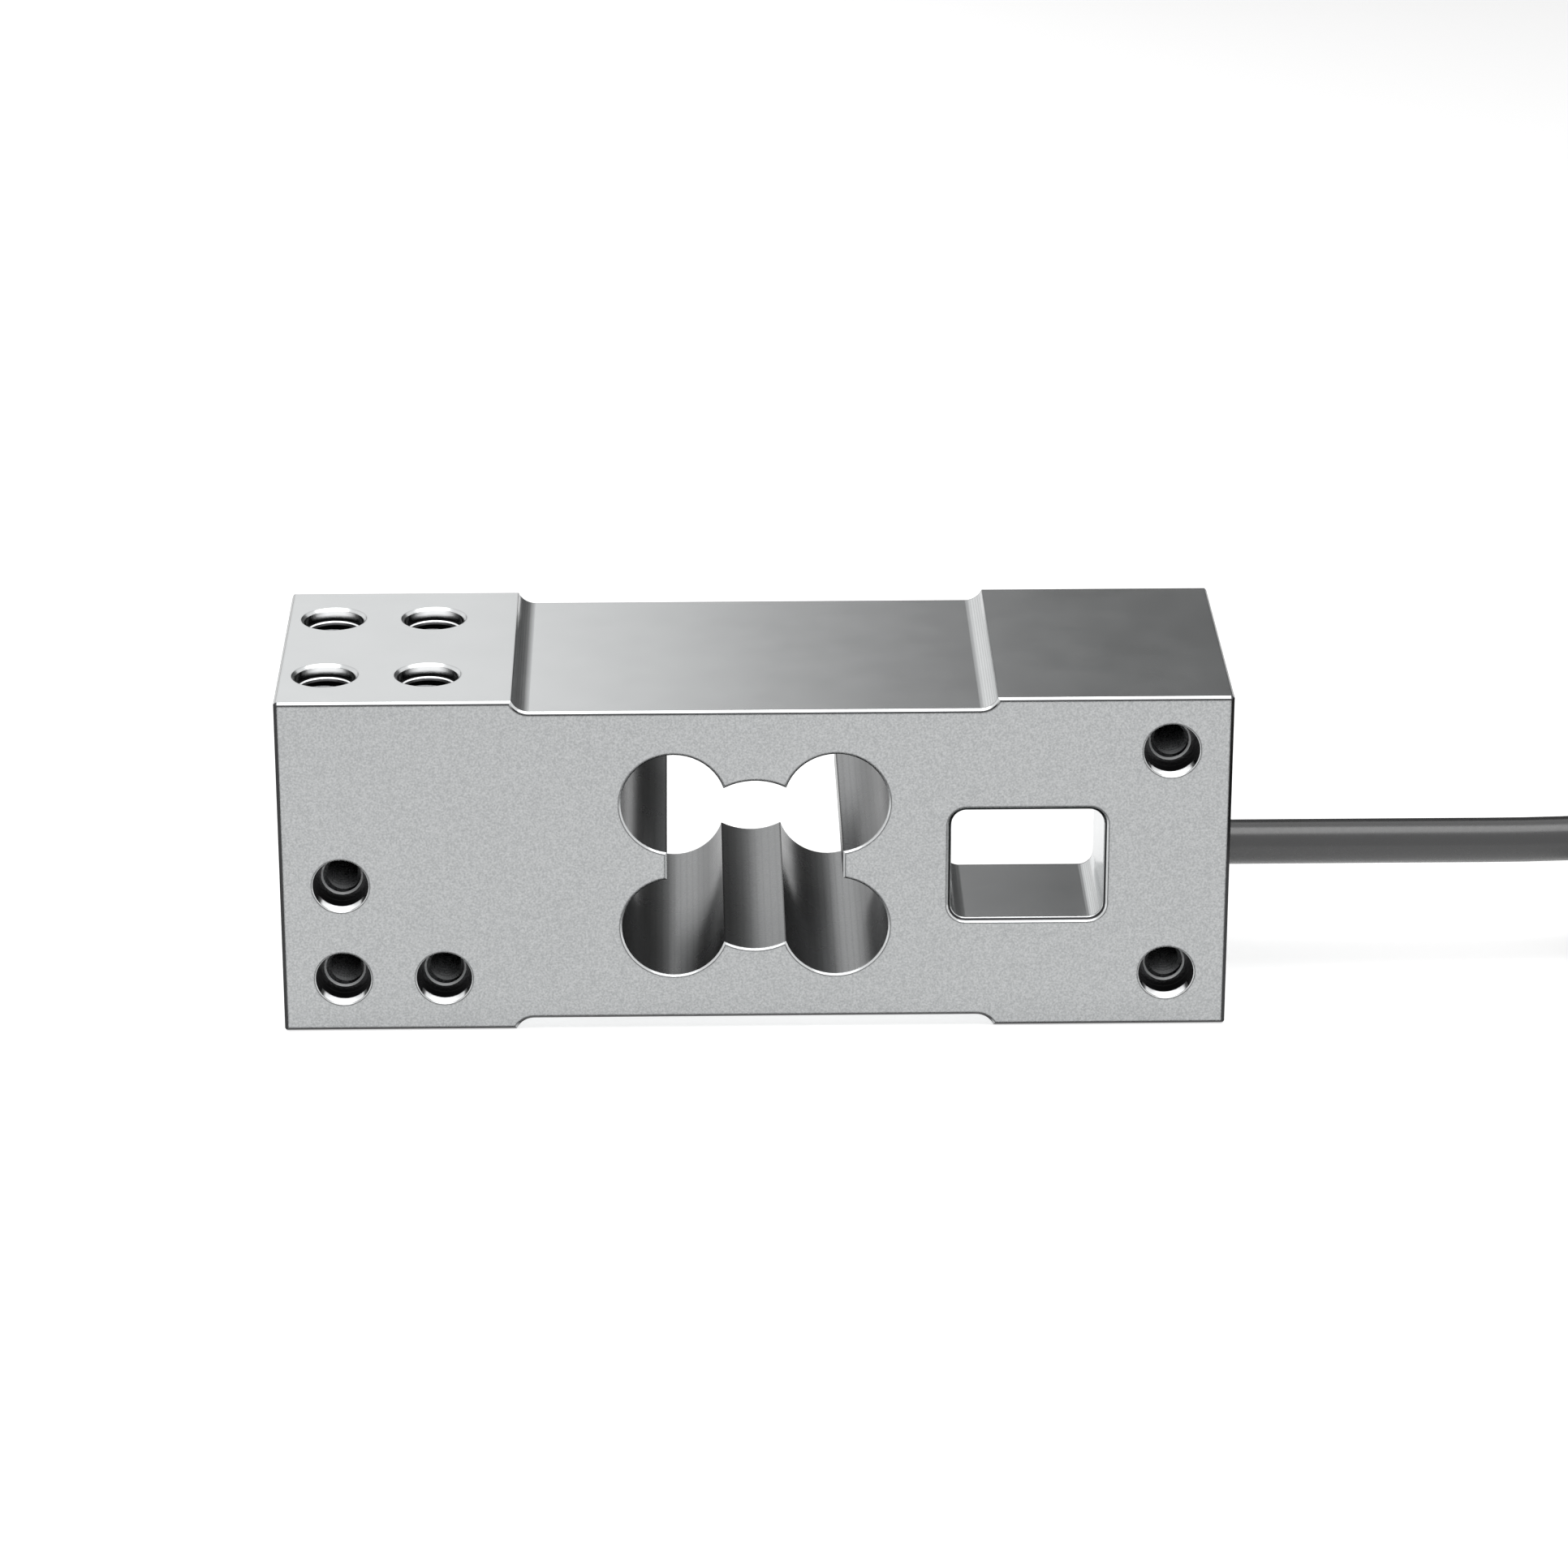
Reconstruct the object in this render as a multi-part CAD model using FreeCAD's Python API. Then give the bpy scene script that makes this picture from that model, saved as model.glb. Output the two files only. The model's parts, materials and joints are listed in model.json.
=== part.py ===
"""Single point load cell: one aluminium sensing block, its strain gauge circuit and its cable.

Millimetres. +X runs along the block to the cable end, -Y is the face with the side holes, +Z is up.
The origin is the middle of the block's underside, which is also where it stands.
"""

import FreeCAD, Part
import math
import os

V = FreeCAD.Vector
X_AXIS, Y_AXIS, Z_AXIS = V(1, 0, 0), V(0, 1, 0), V(0, 0, 1)

# ---- sensing block ----------------------------------------------------------------------------
body_length = 150.0
body_width = 50.0
body_height = 56.0
pad_length = 37.0  # each of the four bearing pads, along X
relief_depth = 1.8  # the faces between the pads lie this much lower
relief_fillet = 3.0  # round that leads from a relief face up to its pad
edge_break = 0.5  # chamfer on the outer edges
corner_break = 0.35  # chamfer on the edges across the width

# ---- binocular cut-out: four lobes, joined by slots and a crowned middle -------------------------
lobe_radius = 8.3
lobe_spacing_x = 25.6
lobe_spacing_z = 21.0
slot_width = 27.8  # between the upright walls that join upper and lower lobes
crown_radius = 10.5
crown_height = 28.7  # from the lowest to the highest point of the crowned middle
cutout_break = 0.3

# ---- window in the web at the cable end, and the pocket behind it --------------------------------
window_length = 24.1
window_height = 18.4
window_radius = 2.4
window_break = 0.7
window_from_end = 32.0  # window centre to the cable end's face
window_centre_z = 27.8
pocket_past_axis = 3.0  # the pocket's floor lies this far in front of the cable's axis
pocket_length = 31.0
pocket_from_end = 15.5  # wall between the pocket and the cable end's face
pocket_floor = 6.0
pocket_roof = 6.0
pocket_radius = 3.0

# ---- M6 holes in the side face --------------------------------------------------------------------
side_thread = 6.0  # major diameter
side_counterbore = 8.8
side_counterbore_depth = 4.5
side_counterbore_break = 0.15
side_thread_break = 0.35
side_hole_depth = 18.0
side_pitch_x = 16.0
side_pitch_z = 16.0
side_from_end = 9.6
side_from_base = 9.0
cable_side_pitch_z = 38.0

# ---- M8 holes in the top pad ----------------------------------------------------------------------
top_thread = 8.0
top_counterbore = 9.6
top_counterbore_depth = 2.0
top_counterbore_break = 0.5
top_thread_break = 0.5
top_hole_depth = 20.0
top_pitch_x = 16.2
top_pitch_y = 25.5
top_from_end = 15.5  # middle of the pattern to the end's face
drill_point = 118.0  # degrees, of every blind hole

# ---- cable, its bore and the seal in the bore -------------------------------------------------------
cable_diameter = 7.4
cable_height = 21.0
seal_thickness = 0.8
seal_recess = 0.6
jacket_from_pocket = 2.0  # the jacket stops this far inside the bore
conductor_diameter = 1.2
conductor_pitch = 1.4
conductor_bend = 1.7
conductor_wall_gap = 0.3

# ---- strain gauges and their terminals, on the underside between the pads ---------------------------
gauge_length = 8.0
gauge_width = 5.6
gauge_film = 0.1
gauge_pitch_y = 12.0
foil_thickness = 0.05
foil_lines = 8  # an even number, so that both tabs lie on one side
foil_line_width = 0.24
foil_line_pitch = 0.42
foil_line_length = 3.6
foil_tab = 1.3
terminal_length = 3.0
terminal_width = 9.0
terminal_thickness = 0.3
terminal_offset = 5.5  # terminal centre to the block's middle
terminal_pads = 4
terminal_copper = 0.05
terminal_pad_length = 2.1
terminal_pad_width = 1.35
sealant_thickness = 1.6
sealant_width = 20.0
sealant_margin = 2.5
sealant_bevel = 0.6
sealant_corner = 2.0
sealant_wire_gap = 0.1  # round the wires' channel

# ---- bridge wires ---------------------------------------------------------------------------------
wire_sides = 6  # of the section of every thin wire and lead
wire_diameter = 0.5
wire_pitch = 0.8
wire_bend = 0.9
wire_hole = 3.0
wire_hole_wall = 1.9  # wire hole centre to the pocket's wall
wire_hole_web = 2.4  # wire hole centre to the web

# ---- compensation board -----------------------------------------------------------------------------
board_length = 22.0
board_height = 10.0
board_thickness = 1.0
board_side_gap = 3.5  # board to the pocket's wall beside the bridge wires
board_roof_gap = 1.4
adhesive_thickness = 0.5
adhesive_inset = 1.0
board_corner = 1.0
solder_pitch = 2.1
solder_inset = 1.4
solder_radius = 0.95
solder_top_radius = 0.52
solder_height = 0.8
solder_sides = 8
chip_length = 3.2
chip_width = 1.6
chip_height = 0.6
chip_cap = 0.5
chip_cap_skin = 0.036  # the caps stand this much proud of the core
chip_pitch = 3.9

# ---- put-away hank of cable ---------------------------------------------------------------------------
hank_gap = 63.0  # cable end's face to the near end of the hank
fold_radius = 22.2  # centre line of the inner turn, at the hank's ends
waist_half = 11.0  # centre line of the inner turn to the hank's middle plane, at the strap
fold_spacing = 65.4  # between the centres of the two end folds
strap_width = 12.0
strap_thickness = 1.2
strap_slack = 0.05
strap_flap = 20.0
layer_gap = 0.1
tail_length = 24.0
sleeve_diameter = 8.8
sleeve_length = 20.0
sleeve_overlap = 11.0
sleeve_neck = 4.6
sleeve_neck_length = 6.0
lead_diameter = 1.3
lead_pitch = 1.6
lead_length = 22.0
drain_diameter = 0.9
drain_offset = 1.85
lead_tip = 6.0
tip_diameter = 0.8

# ---- worked out from the sizes above --------------------------------------------------------------------
end_x = body_length / 2
front_y = -body_width / 2
back_y = body_width / 2
mid_z = body_height / 2
pad_x = end_x - pad_length
web_y = -pocket_past_axis
pocket_x1 = end_x - pocket_from_end
pocket_x0 = pocket_x1 - pocket_length
pocket_top = body_height - pocket_roof
bore_diameter = cable_diameter + 2 * seal_thickness
cable_radius = cable_diameter / 2
wire_hole_x = pocket_x0 + wire_hole_wall
wire_hole_y = web_y + wire_hole_web
board_x0 = pocket_x0 + board_side_gap
board_z1 = pocket_top - board_roof_gap
board_y0 = web_y + adhesive_thickness
board_y1 = board_y0 + board_thickness
board_x1 = board_x0 + board_length
board_z0 = board_z1 - board_height
jacket_x = pocket_x1 + jacket_from_pocket
hank_x = end_x + hank_gap + cable_diameter * 1.5 + fold_radius + fold_spacing / 2
first_layer = strap_thickness + strap_slack + cable_radius
layer_z = [first_layer + k * (cable_diameter + layer_gap) for k in range(3)]
pinch_radius = ((fold_spacing / 2) ** 2 - fold_radius**2 + waist_half**2) / (
    2 * (fold_radius - waist_half)
)  # centre line of the inner turn, where it runs in to the waist
outer_waist = waist_half + cable_diameter
tail_z = layer_z[2] + (sleeve_diameter - cable_diameter) / 2 + layer_gap


# ---- helpers --------------------------------------------------------------------------------------------
def box(x0, x1, y0, y1, z0, z1):
    return Part.makeBox(x1 - x0, y1 - y0, z1 - z0, V(x0, y0, z0))


def fuse(shapes):
    whole = shapes[0]
    for shape in shapes[1:]:
        whole = whole.fuse(shape)
    return whole.removeSplitter()


def rounded_box(x0, x1, y0, y1, z0, z1, radius):
    """A box with its four edges along Y rounded."""
    block = box(x0, x1, y0, y1, z0, z1)
    along_y = [e for e in block.Edges if abs(e.tangentAt(e.FirstParameter).y) > 0.99]
    return block.makeFillet(radius, along_y)


def path(points, bend=None):
    """Straight runs joined by tangent arcs. With no bend given, each arc takes 0.45 of its shorter run."""
    edges, radii = [], []
    start = points[0]
    for before, corner, after in zip(points, points[1:], points[2:]):
        back, ahead = before.sub(corner), after.sub(corner)
        turn = math.pi - back.getAngle(ahead)
        if bend is None:
            radius = 0.45 * min(back.Length, ahead.Length) / math.tan(turn / 2)
        else:
            radius = bend
        reach = radius * math.tan(turn / 2)
        back.normalize()
        ahead.normalize()
        arc_start, arc_end = corner + back * reach, corner + ahead * reach
        inward = (back + ahead).normalize()
        arc_middle = corner + inward * (radius / math.cos(turn / 2) - radius)
        edges.append(Part.LineSegment(start, arc_start).toShape())
        edges.append(Part.Arc(arc_start, arc_middle, arc_end).toShape())
        radii.append(radius)
        start = arc_end
    edges.append(Part.LineSegment(start, points[-1]).toShape())
    return Part.Wire(edges), radii


def rod(points, diameter, bend=None):
    """A round rod that follows a path, and the path's length and radii."""
    spine, radii = path(points, bend)
    circle = Part.Circle(points[0], points[1] - points[0], diameter / 2)
    section = Part.Wire([circle.toShape()])
    return spine.makePipeShell([section], True, False), spine.Length, radii


def thin_wire(points, diameter, bend=None):
    """A thin wire of straight, mitred pieces, with each corner cut where path() has its arc.

    Its section's corners lie on the wire's round outline.
    """
    line = [points[0]]
    for before, corner, after in zip(points, points[1:], points[2:]):
        back, ahead = before - corner, after - corner
        turn = math.pi - back.getAngle(ahead)
        reach = 0.45 * min(back.Length, ahead.Length) if bend is None else bend * math.tan(turn / 2)
        line += [corner + back.normalize() * reach, corner + ahead.normalize() * reach]
    line.append(points[-1])

    runs = [(b - a).normalize() for a, b in zip(line, line[1:])]
    across = runs[0].cross(Z_AXIS if abs(runs[0].z) < 0.9 else Y_AXIS).normalize()
    over = runs[0].cross(across)
    angle = 2 * math.pi / wire_sides
    ring = [
        line[0] + (across * math.cos(k * angle) + over * math.sin(k * angle)) * (diameter / 2)
        for k in range(wire_sides)
    ]
    faces = [Part.Face(Part.makePolygon(ring + ring[:1]))]
    for run, following, corner in zip(runs, runs[1:] + runs[-1:], line[1:]):
        mitre = (run + following).normalize()
        moved = [p + run * ((corner - p).dot(mitre) / run.dot(mitre)) for p in ring]
        for k in range(wire_sides):
            quad = [ring[k - 1], ring[k], moved[k], moved[k - 1]]
            faces.append(Part.Face(Part.makePolygon(quad + quad[:1])))
        ring = moved
    faces.append(Part.Face(Part.makePolygon(ring + ring[:1])))
    solid = Part.Solid(Part.Shell(faces))
    if solid.Volume < 0:
        solid.reverse()
    return solid


def blind_hole(mouth, inward, diameter, depth):
    """A drilled hole with a conical end."""
    point_length = diameter / 2 / math.tan(math.radians(drill_point / 2))
    straight = Part.makeCylinder(diameter / 2, depth, mouth, inward)
    point = Part.makeCone(diameter / 2, 0, point_length, mouth + inward * depth, inward)
    return straight.fuse(point)


def countersink(mouth, inward, diameter, depth):
    """A 45 degree chamfer of a round mouth."""
    return Part.makeCone(diameter / 2 + depth, diameter / 2, depth, mouth, inward)


def threaded_mouth(mouth, inward, thread, thread_break, depth, bore, bore_depth, bore_break):
    """A threaded hole at the bottom of a counterbore, with both mouths broken."""
    seat = mouth + inward * bore_depth
    return fuse([
        countersink(mouth, inward, bore, bore_break),
        Part.makeCylinder(bore / 2, bore_depth, mouth, inward),
        countersink(seat, inward, thread, thread_break),
        blind_hole(seat, inward, thread, depth - bore_depth),
    ])


# ---- sensing block ----------------------------------------------------------------------------------------
def side_profile():
    """Outline of the block in the XZ plane: pads at the four corners and a relief between each pair."""
    relief_z = body_height - relief_depth
    round_x = math.sqrt(relief_fillet**2 - (relief_fillet - relief_depth) ** 2)
    flat_x = pad_x - round_x
    half_turn = math.asin(round_x / relief_fillet) / 2

    def corner(x, z):
        return V(x, front_y, z)

    def relief(sign, low):
        """The relief's outline from the pad on one side of the middle to the pad on the other."""
        level = relief_depth if low else relief_z
        tip = 0.0 if low else body_height
        bulge = relief_fillet * (1 - math.cos(half_turn))
        middle_z = level - bulge if low else level + bulge
        middle_x = flat_x + relief_fillet * math.sin(half_turn)
        return [
            Part.Arc(
                corner(sign * pad_x, tip), corner(sign * middle_x, middle_z), corner(sign * flat_x, level)
            ).toShape(),
            Part.LineSegment(corner(sign * flat_x, level), corner(-sign * flat_x, level)).toShape(),
            Part.Arc(
                corner(-sign * flat_x, level), corner(-sign * middle_x, middle_z), corner(-sign * pad_x, tip)
            ).toShape(),
        ]

    def line(a, b):
        return Part.LineSegment(corner(*a), corner(*b)).toShape()

    outline = [line((-end_x, 0), (-pad_x, 0))]
    outline += relief(-1, True)
    outline += [line((pad_x, 0), (end_x, 0))]
    outline += [line((end_x, 0), (end_x, body_height))]
    outline += [line((end_x, body_height), (pad_x, body_height))]
    outline += relief(1, False)
    outline += [line((-pad_x, body_height), (-end_x, body_height))]
    outline += [line((-end_x, body_height), (-end_x, 0))]
    return Part.Face(Part.Wire(outline))


def binocular_cutout():
    """The through cut that leaves four thin sections, where the block bends."""
    through = body_width + 2

    def column(x, z, radius):
        return Part.makeCylinder(radius, through, V(x, front_y - 1, z), Y_AXIS)

    half_x, half_z = lobe_spacing_x / 2, lobe_spacing_z / 2
    lobes = [column(i * half_x, mid_z + k * half_z, lobe_radius) for i in (-1, 1) for k in (-1, 1)]
    rise = crown_height / 2 - crown_radius
    crowns = [column(0, mid_z + k * rise, crown_radius) for k in (-1, 1)]
    slot = box(
        -slot_width / 2, slot_width / 2, front_y - 1, back_y + 1, mid_z - half_z, mid_z + half_z
    )
    return fuse([slot] + crowns + lobes)


def window_cut():
    x = end_x - window_from_end
    return rounded_box(
        x - window_length / 2,
        x + window_length / 2,
        front_y - 1,
        web_y + 1,
        window_centre_z - window_height / 2,
        window_centre_z + window_height / 2,
        window_radius,
    )


def pocket_cut():
    return rounded_box(
        pocket_x0, pocket_x1, web_y, back_y + 1, pocket_floor, pocket_top, pocket_radius
    )


def side_hole_places():
    """Centres of the M6 holes in the front face, as (x, z)."""
    left, right = -end_x + side_from_end, end_x - side_from_end
    low = side_from_base
    return [
        (left, low),
        (left + side_pitch_x, low),
        (left, low + side_pitch_z),
        (right, low),
        (right, low + cable_side_pitch_z),
    ]


def top_hole_places():
    """Centres of the M8 holes in the top pad, as (x, y)."""
    middle = -end_x + top_from_end
    return [
        (middle + i * top_pitch_x / 2, j * top_pitch_y / 2) for i in (-1, 1) for j in (-1, 1)
    ]


def holes():
    side = [
        threaded_mouth(
            V(x, front_y, z), Y_AXIS, side_thread, side_thread_break, side_hole_depth,
            side_counterbore, side_counterbore_depth, side_counterbore_break,
        )
        for x, z in side_hole_places()
    ]
    top = [
        threaded_mouth(
            V(x, y, body_height), -Z_AXIS, top_thread, top_thread_break, top_hole_depth,
            top_counterbore, top_counterbore_depth, top_counterbore_break,
        )
        for x, y in top_hole_places()
    ]
    bore = Part.makeCylinder(
        bore_diameter / 2, pocket_from_end + 1, V(pocket_x1, 0, cable_height), X_AXIS
    )
    wires = Part.makeCylinder(
        wire_hole / 2, pocket_floor + pocket_radius, V(wire_hole_x, wire_hole_y, 0), Z_AXIS
    )
    return side + top + [bore, wires]


def in_plane(edge, coordinate, value):
    return all(abs(getattr(v.Point, coordinate) - value) < 1e-6 for v in edge.Vertexes) and (
        abs(getattr(edge.CenterOfMass, coordinate) - value) < 1e-6
    )


def sensing_body():
    block = side_profile().extrude(V(0, body_width, 0))
    rims = [e for e in block.Edges if in_plane(e, "y", front_y) or in_plane(e, "y", back_y)]
    block = block.makeChamfer(edge_break, rims)
    across = [
        e
        for e in block.Edges
        if abs(abs(e.CenterOfMass.x) - end_x) < 1e-6 and abs(e.tangentAt(e.FirstParameter).y) > 0.99
        and e.Length > body_width / 2
    ]
    block = block.makeChamfer(corner_break, across)
    cut = binocular_cutout()
    block = block.cut(cut)
    lobe_reach = lobe_spacing_x / 2 + lobe_radius + 0.1
    rims = [
        e
        for e in block.Edges
        if (in_plane(e, "y", front_y) or in_plane(e, "y", back_y))
        and e.BoundBox.XMax < lobe_reach and e.BoundBox.XMin > -lobe_reach
        and e.BoundBox.ZMin > mid_z - lobe_reach and e.BoundBox.ZMax < mid_z + lobe_reach
    ]
    block = block.makeChamfer(cutout_break, rims)
    block = block.cut(window_cut())
    window_x = end_x - window_from_end
    rims = [
        e
        for e in block.Edges
        if in_plane(e, "y", front_y)
        and abs(e.CenterOfMass.x - window_x) < window_length / 2 + 0.1
        and abs(e.CenterOfMass.z - window_centre_z) < window_height / 2 + 0.1
    ]
    block = block.makeChamfer(window_break, rims)
    block = block.cut(pocket_cut())
    pocket_middle = (pocket_x0 + pocket_x1) / 2
    rims = [
        e
        for e in block.Edges
        if in_plane(e, "y", back_y)
        and abs(e.CenterOfMass.x - pocket_middle) < pocket_length / 2 + 0.1
        and pocket_floor - 0.1 < e.CenterOfMass.z < pocket_top + 0.1
    ]
    block = block.makeChamfer(edge_break, rims)
    for hole in holes():
        block = block.cut(hole)
    mouth = countersink(V(end_x, 0, cable_height), -X_AXIS, bore_diameter, edge_break)
    return block.cut(mouth).removeSplitter()


# ---- strain gauges, terminals, sealant ------------------------------------------------------------------
def strain_gauge(sign_x, sign_y):
    """A foil meander on a film, bonded under a thin section. Its tabs point to the block's middle."""
    x = sign_x * lobe_spacing_x / 2
    y = sign_y * gauge_pitch_y / 2
    film_z = relief_depth - gauge_film
    foil_z = film_z - foil_thickness
    pieces = [
        box(
            x - gauge_length / 2, x + gauge_length / 2,
            y - gauge_width / 2, y + gauge_width / 2, film_z, relief_depth,
        )
    ]

    def foil(x0, x1, y0, y1):
        """A patch of foil, with X counted from the grid's middle towards the tabs."""
        a, b = sorted((x - sign_x * x0, x - sign_x * x1))
        pieces.append(box(a, b, y + y0, y + y1, foil_z, film_z))

    first = -(foil_lines - 1) * foil_line_pitch / 2
    half_line, half_width = foil_line_length / 2, foil_line_width / 2
    for k in range(foil_lines):
        line_y = first + k * foil_line_pitch
        foil(-half_line, half_line, line_y - half_width, line_y + half_width)
        if k < foil_lines - 1:
            side = -1 if k % 2 == 0 else 1
            turn = sorted((side * half_line, side * (half_line - foil_line_width)))
            foil(*turn, line_y, line_y + foil_line_pitch)
    for end in (-1, 1):
        edge = end * (-first + half_width)
        foil(half_line, half_line + foil_tab, *sorted((edge, edge - end * foil_tab)))
    return fuse(pieces)


def terminal_pad_ys():
    pitch = terminal_width / terminal_pads
    return [(k - (terminal_pads - 1) / 2) * pitch for k in range(terminal_pads)]


def terminal_strip(sign_x):
    """A small board with copper pads, where the gauge leads meet the bridge wires."""
    x = sign_x * terminal_offset
    low = relief_depth - terminal_thickness
    half, pad_x_half, pad_y_half = terminal_length / 2, terminal_pad_length / 2, terminal_pad_width / 2
    strip = box(x - half, x + half, -terminal_width / 2, terminal_width / 2, low, relief_depth)
    pads = [
        box(x - pad_x_half, x + pad_x_half, y - pad_y_half, y + pad_y_half, low - terminal_copper, low)
        for y in terminal_pad_ys()
    ]
    return fuse([strip] + pads)


def solder_zs():
    """Heights of the solder joints on the board, from the lowest up."""
    middle = (board_z0 + board_z1) / 2
    return [middle + (k - 1.5) * solder_pitch for k in range(4)]


def bridge_wire(layer, side):
    """From a terminal strip, under the relief, up the wire hole and across to the board.

    layer 0 lies against the block and turns up first; layer 1 lies below it and turns up outside it.
    side -1 or 1 is the wire's place across the pair.
    """
    pads = terminal_pad_ys()
    pad_y = pads[len(pads) // 2 - 1] if side < 0 else pads[len(pads) // 2]
    upper_z = relief_depth - terminal_thickness - terminal_copper - wire_diameter / 2
    run_z = upper_z - layer * (wire_diameter + terminal_copper)
    strip_x = terminal_offset if layer == 0 else -terminal_offset
    lane_y = wire_hole_y + side * wire_pitch / 2
    rise_x = wire_hole_x + (layer - 0.5) * wire_pitch
    joint_z = solder_zs()[(1 - layer) * 2 + (side > 0)]
    leave_x = strip_x + terminal_length
    points = [
        V(strip_x, pad_y, upper_z),
        V(leave_x, pad_y, upper_z),
        V(leave_x + terminal_length, lane_y, run_z),
        V(rise_x, lane_y, run_z),
        V(rise_x, lane_y, joint_z),
        V(board_x0 + solder_inset, board_y1 + wire_diameter / 2, joint_z),
    ]
    return thin_wire(points, wire_diameter, wire_bend)


def gauge_sealant():
    """Cast over gauges and terminals, with a channel for the wires, and a plug in the wire hole."""
    x0 = -lobe_spacing_x / 2 - gauge_length / 2 - sealant_margin
    x1 = wire_hole_x + wire_hole / 2 + sealant_margin
    low = relief_depth - sealant_thickness
    pad = box(x0, x1, -sealant_width / 2, sealant_width / 2, low, relief_depth)
    upright = [e for e in pad.Edges if abs(e.tangentAt(e.FirstParameter).z) > 0.99]
    pad = pad.makeChamfer(sealant_corner, upright)
    rim = [e for e in pad.Edges if in_plane(e, "z", low)]
    pad = pad.makeChamfer(sealant_bevel, rim)
    plug_top = (relief_depth + pocket_floor) / 2
    plug = Part.makeCylinder(
        wire_hole / 2, plug_top - relief_depth, V(wire_hole_x, wire_hole_y, relief_depth), Z_AXIS
    )
    gauge_low = relief_depth - gauge_film - foil_thickness
    hollows = [
        box(
            i * lobe_spacing_x / 2 - gauge_length / 2, i * lobe_spacing_x / 2 + gauge_length / 2,
            j * gauge_pitch_y / 2 - gauge_width / 2, j * gauge_pitch_y / 2 + gauge_width / 2,
            gauge_low, relief_depth,
        )
        for i in (-1, 1)
        for j in (-1, 1)
    ]
    strip_low = relief_depth - terminal_thickness - terminal_copper
    hollows += [
        box(
            i * terminal_offset - terminal_length / 2, i * terminal_offset + terminal_length / 2,
            -terminal_width / 2, terminal_width / 2, strip_low, relief_depth,
        )
        for i in (-1, 1)
    ]
    lane = wire_pitch / 2 + wire_diameter / 2 + sealant_wire_gap
    run_half = max(lane + abs(wire_hole_y), terminal_pad_ys()[terminal_pads // 2] + wire_diameter)
    lowest_wire = strip_low - 2 * wire_diameter - terminal_copper - sealant_wire_gap
    channel_x0 = -terminal_offset - terminal_length / 2
    hollows.append(
        box(channel_x0, wire_hole_x + lane, -run_half, run_half, lowest_wire, relief_depth)
    )
    hollows.append(
        box(
            wire_hole_x - lane - wire_bend / 2, wire_hole_x + lane,
            wire_hole_y - lane, wire_hole_y + lane, lowest_wire, plug_top,
        )
    )
    whole = pad.fuse(plug)
    for hollow in hollows:
        whole = whole.cut(hollow)
    return whole.removeSplitter()


# ---- compensation board -----------------------------------------------------------------------------------
def board_adhesive():
    inset = adhesive_inset
    return box(
        board_x0 + inset, board_x1 - inset, web_y, board_y0, board_z0 + inset, board_z1 - inset
    )


def compensation_board():
    return rounded_box(
        board_x0, board_x1, board_y0, board_y1, board_z0, board_z1, board_corner
    )


def chip(index):
    """A chip resistor with a cap at each end, standing upright on the board."""
    x = (board_x0 + board_x1) / 2 + (index - 1.5) * chip_pitch
    z = (board_z0 + board_z1) / 2
    half_x, half_z = chip_width / 2, chip_length / 2
    skin = chip_cap_skin
    core = box(
        x - half_x + skin, x + half_x - skin, board_y1, board_y1 + chip_height - skin,
        z - half_z + skin, z + half_z - skin,
    )
    caps = [
        box(x - half_x, x + half_x, board_y1, board_y1 + chip_height, *sorted((z + a, z + b)))
        for a, b in ((half_z - chip_cap, half_z), (chip_cap - half_z, -half_z))
    ]
    return fuse([core] + caps)


def polygon(centre, radius, sides):
    """A regular polygon round a point, square to Y."""
    angle = 2 * math.pi / sides
    corners = [
        centre + V(math.cos((k + 0.5) * angle), 0, math.sin((k + 0.5) * angle)) * radius
        for k in range(sides)
    ]
    return Part.makePolygon(corners + corners[:1])


def solder_joints(wires):
    """A low cone of solder on each wire's end."""
    cones = []
    for x in (board_x0 + solder_inset, board_x1 - solder_inset):
        for z in solder_zs():
            foot = polygon(V(x, board_y1, z), solder_radius, solder_sides)
            top = polygon(V(x, board_y1 + solder_height, z), solder_top_radius, solder_sides)
            cone = Part.makeLoft([foot, top], True)
            for wire in wires:
                cone = cone.cut(wire)
            cones.append(cone)
    return Part.makeCompound(cones)


# ---- cable inside the block -------------------------------------------------------------------------
def conductor(column, side):
    """From the jacket's end, up the pocket's wall and across to the board.

    column 1 leaves the top of the jacket and turns up next to the wall; column -1 turns up outside it.
    """
    half = conductor_pitch / 2
    z = cable_height + column * half
    rise_x = pocket_x1 - conductor_wall_gap - conductor_diameter / 2
    if column < 0:
        rise_x -= conductor_pitch
    joint_z = solder_zs()[(column > 0) * 2 + (side < 0)]
    points = [
        V(jacket_x, side * half, z),
        V(rise_x, side * half, z),
        V(rise_x, side * half, joint_z),
        V(board_x1 - solder_inset, board_y1 + conductor_diameter / 2, joint_z),
    ]
    return thin_wire(points, conductor_diameter, conductor_bend)


def cable_seal():
    """Potting between the cable's jacket and its bore."""
    length = end_x - seal_recess - jacket_x
    start = V(jacket_x, 0, cable_height)
    ring = Part.makeCylinder(bore_diameter / 2, length, start, X_AXIS)
    return ring.cut(Part.makeCylinder(cable_radius, length, start, X_AXIS))


# ---- free cable, hank and leads -------------------------------------------------------------------------
def cable_route():
    """The cable's points from the jacket's end, through the bore, to its place on top of the hank."""
    return [
        V(jacket_x, 0, cable_height),
        V(end_x + 25, 0, cable_height),
        V(end_x + 64.5, 0.8, cable_height - 0.4),
        V(end_x + 97, waist_half, layer_z[2]),
        V(hank_x, waist_half, layer_z[2]),
    ]


def tail_route():
    """The cable's other end, on top of the hank, through the strap and towards the block."""
    return [
        V(hank_x, -outer_waist, tail_z),
        V(hank_x - tail_length, -outer_waist, tail_z),
    ]


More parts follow.
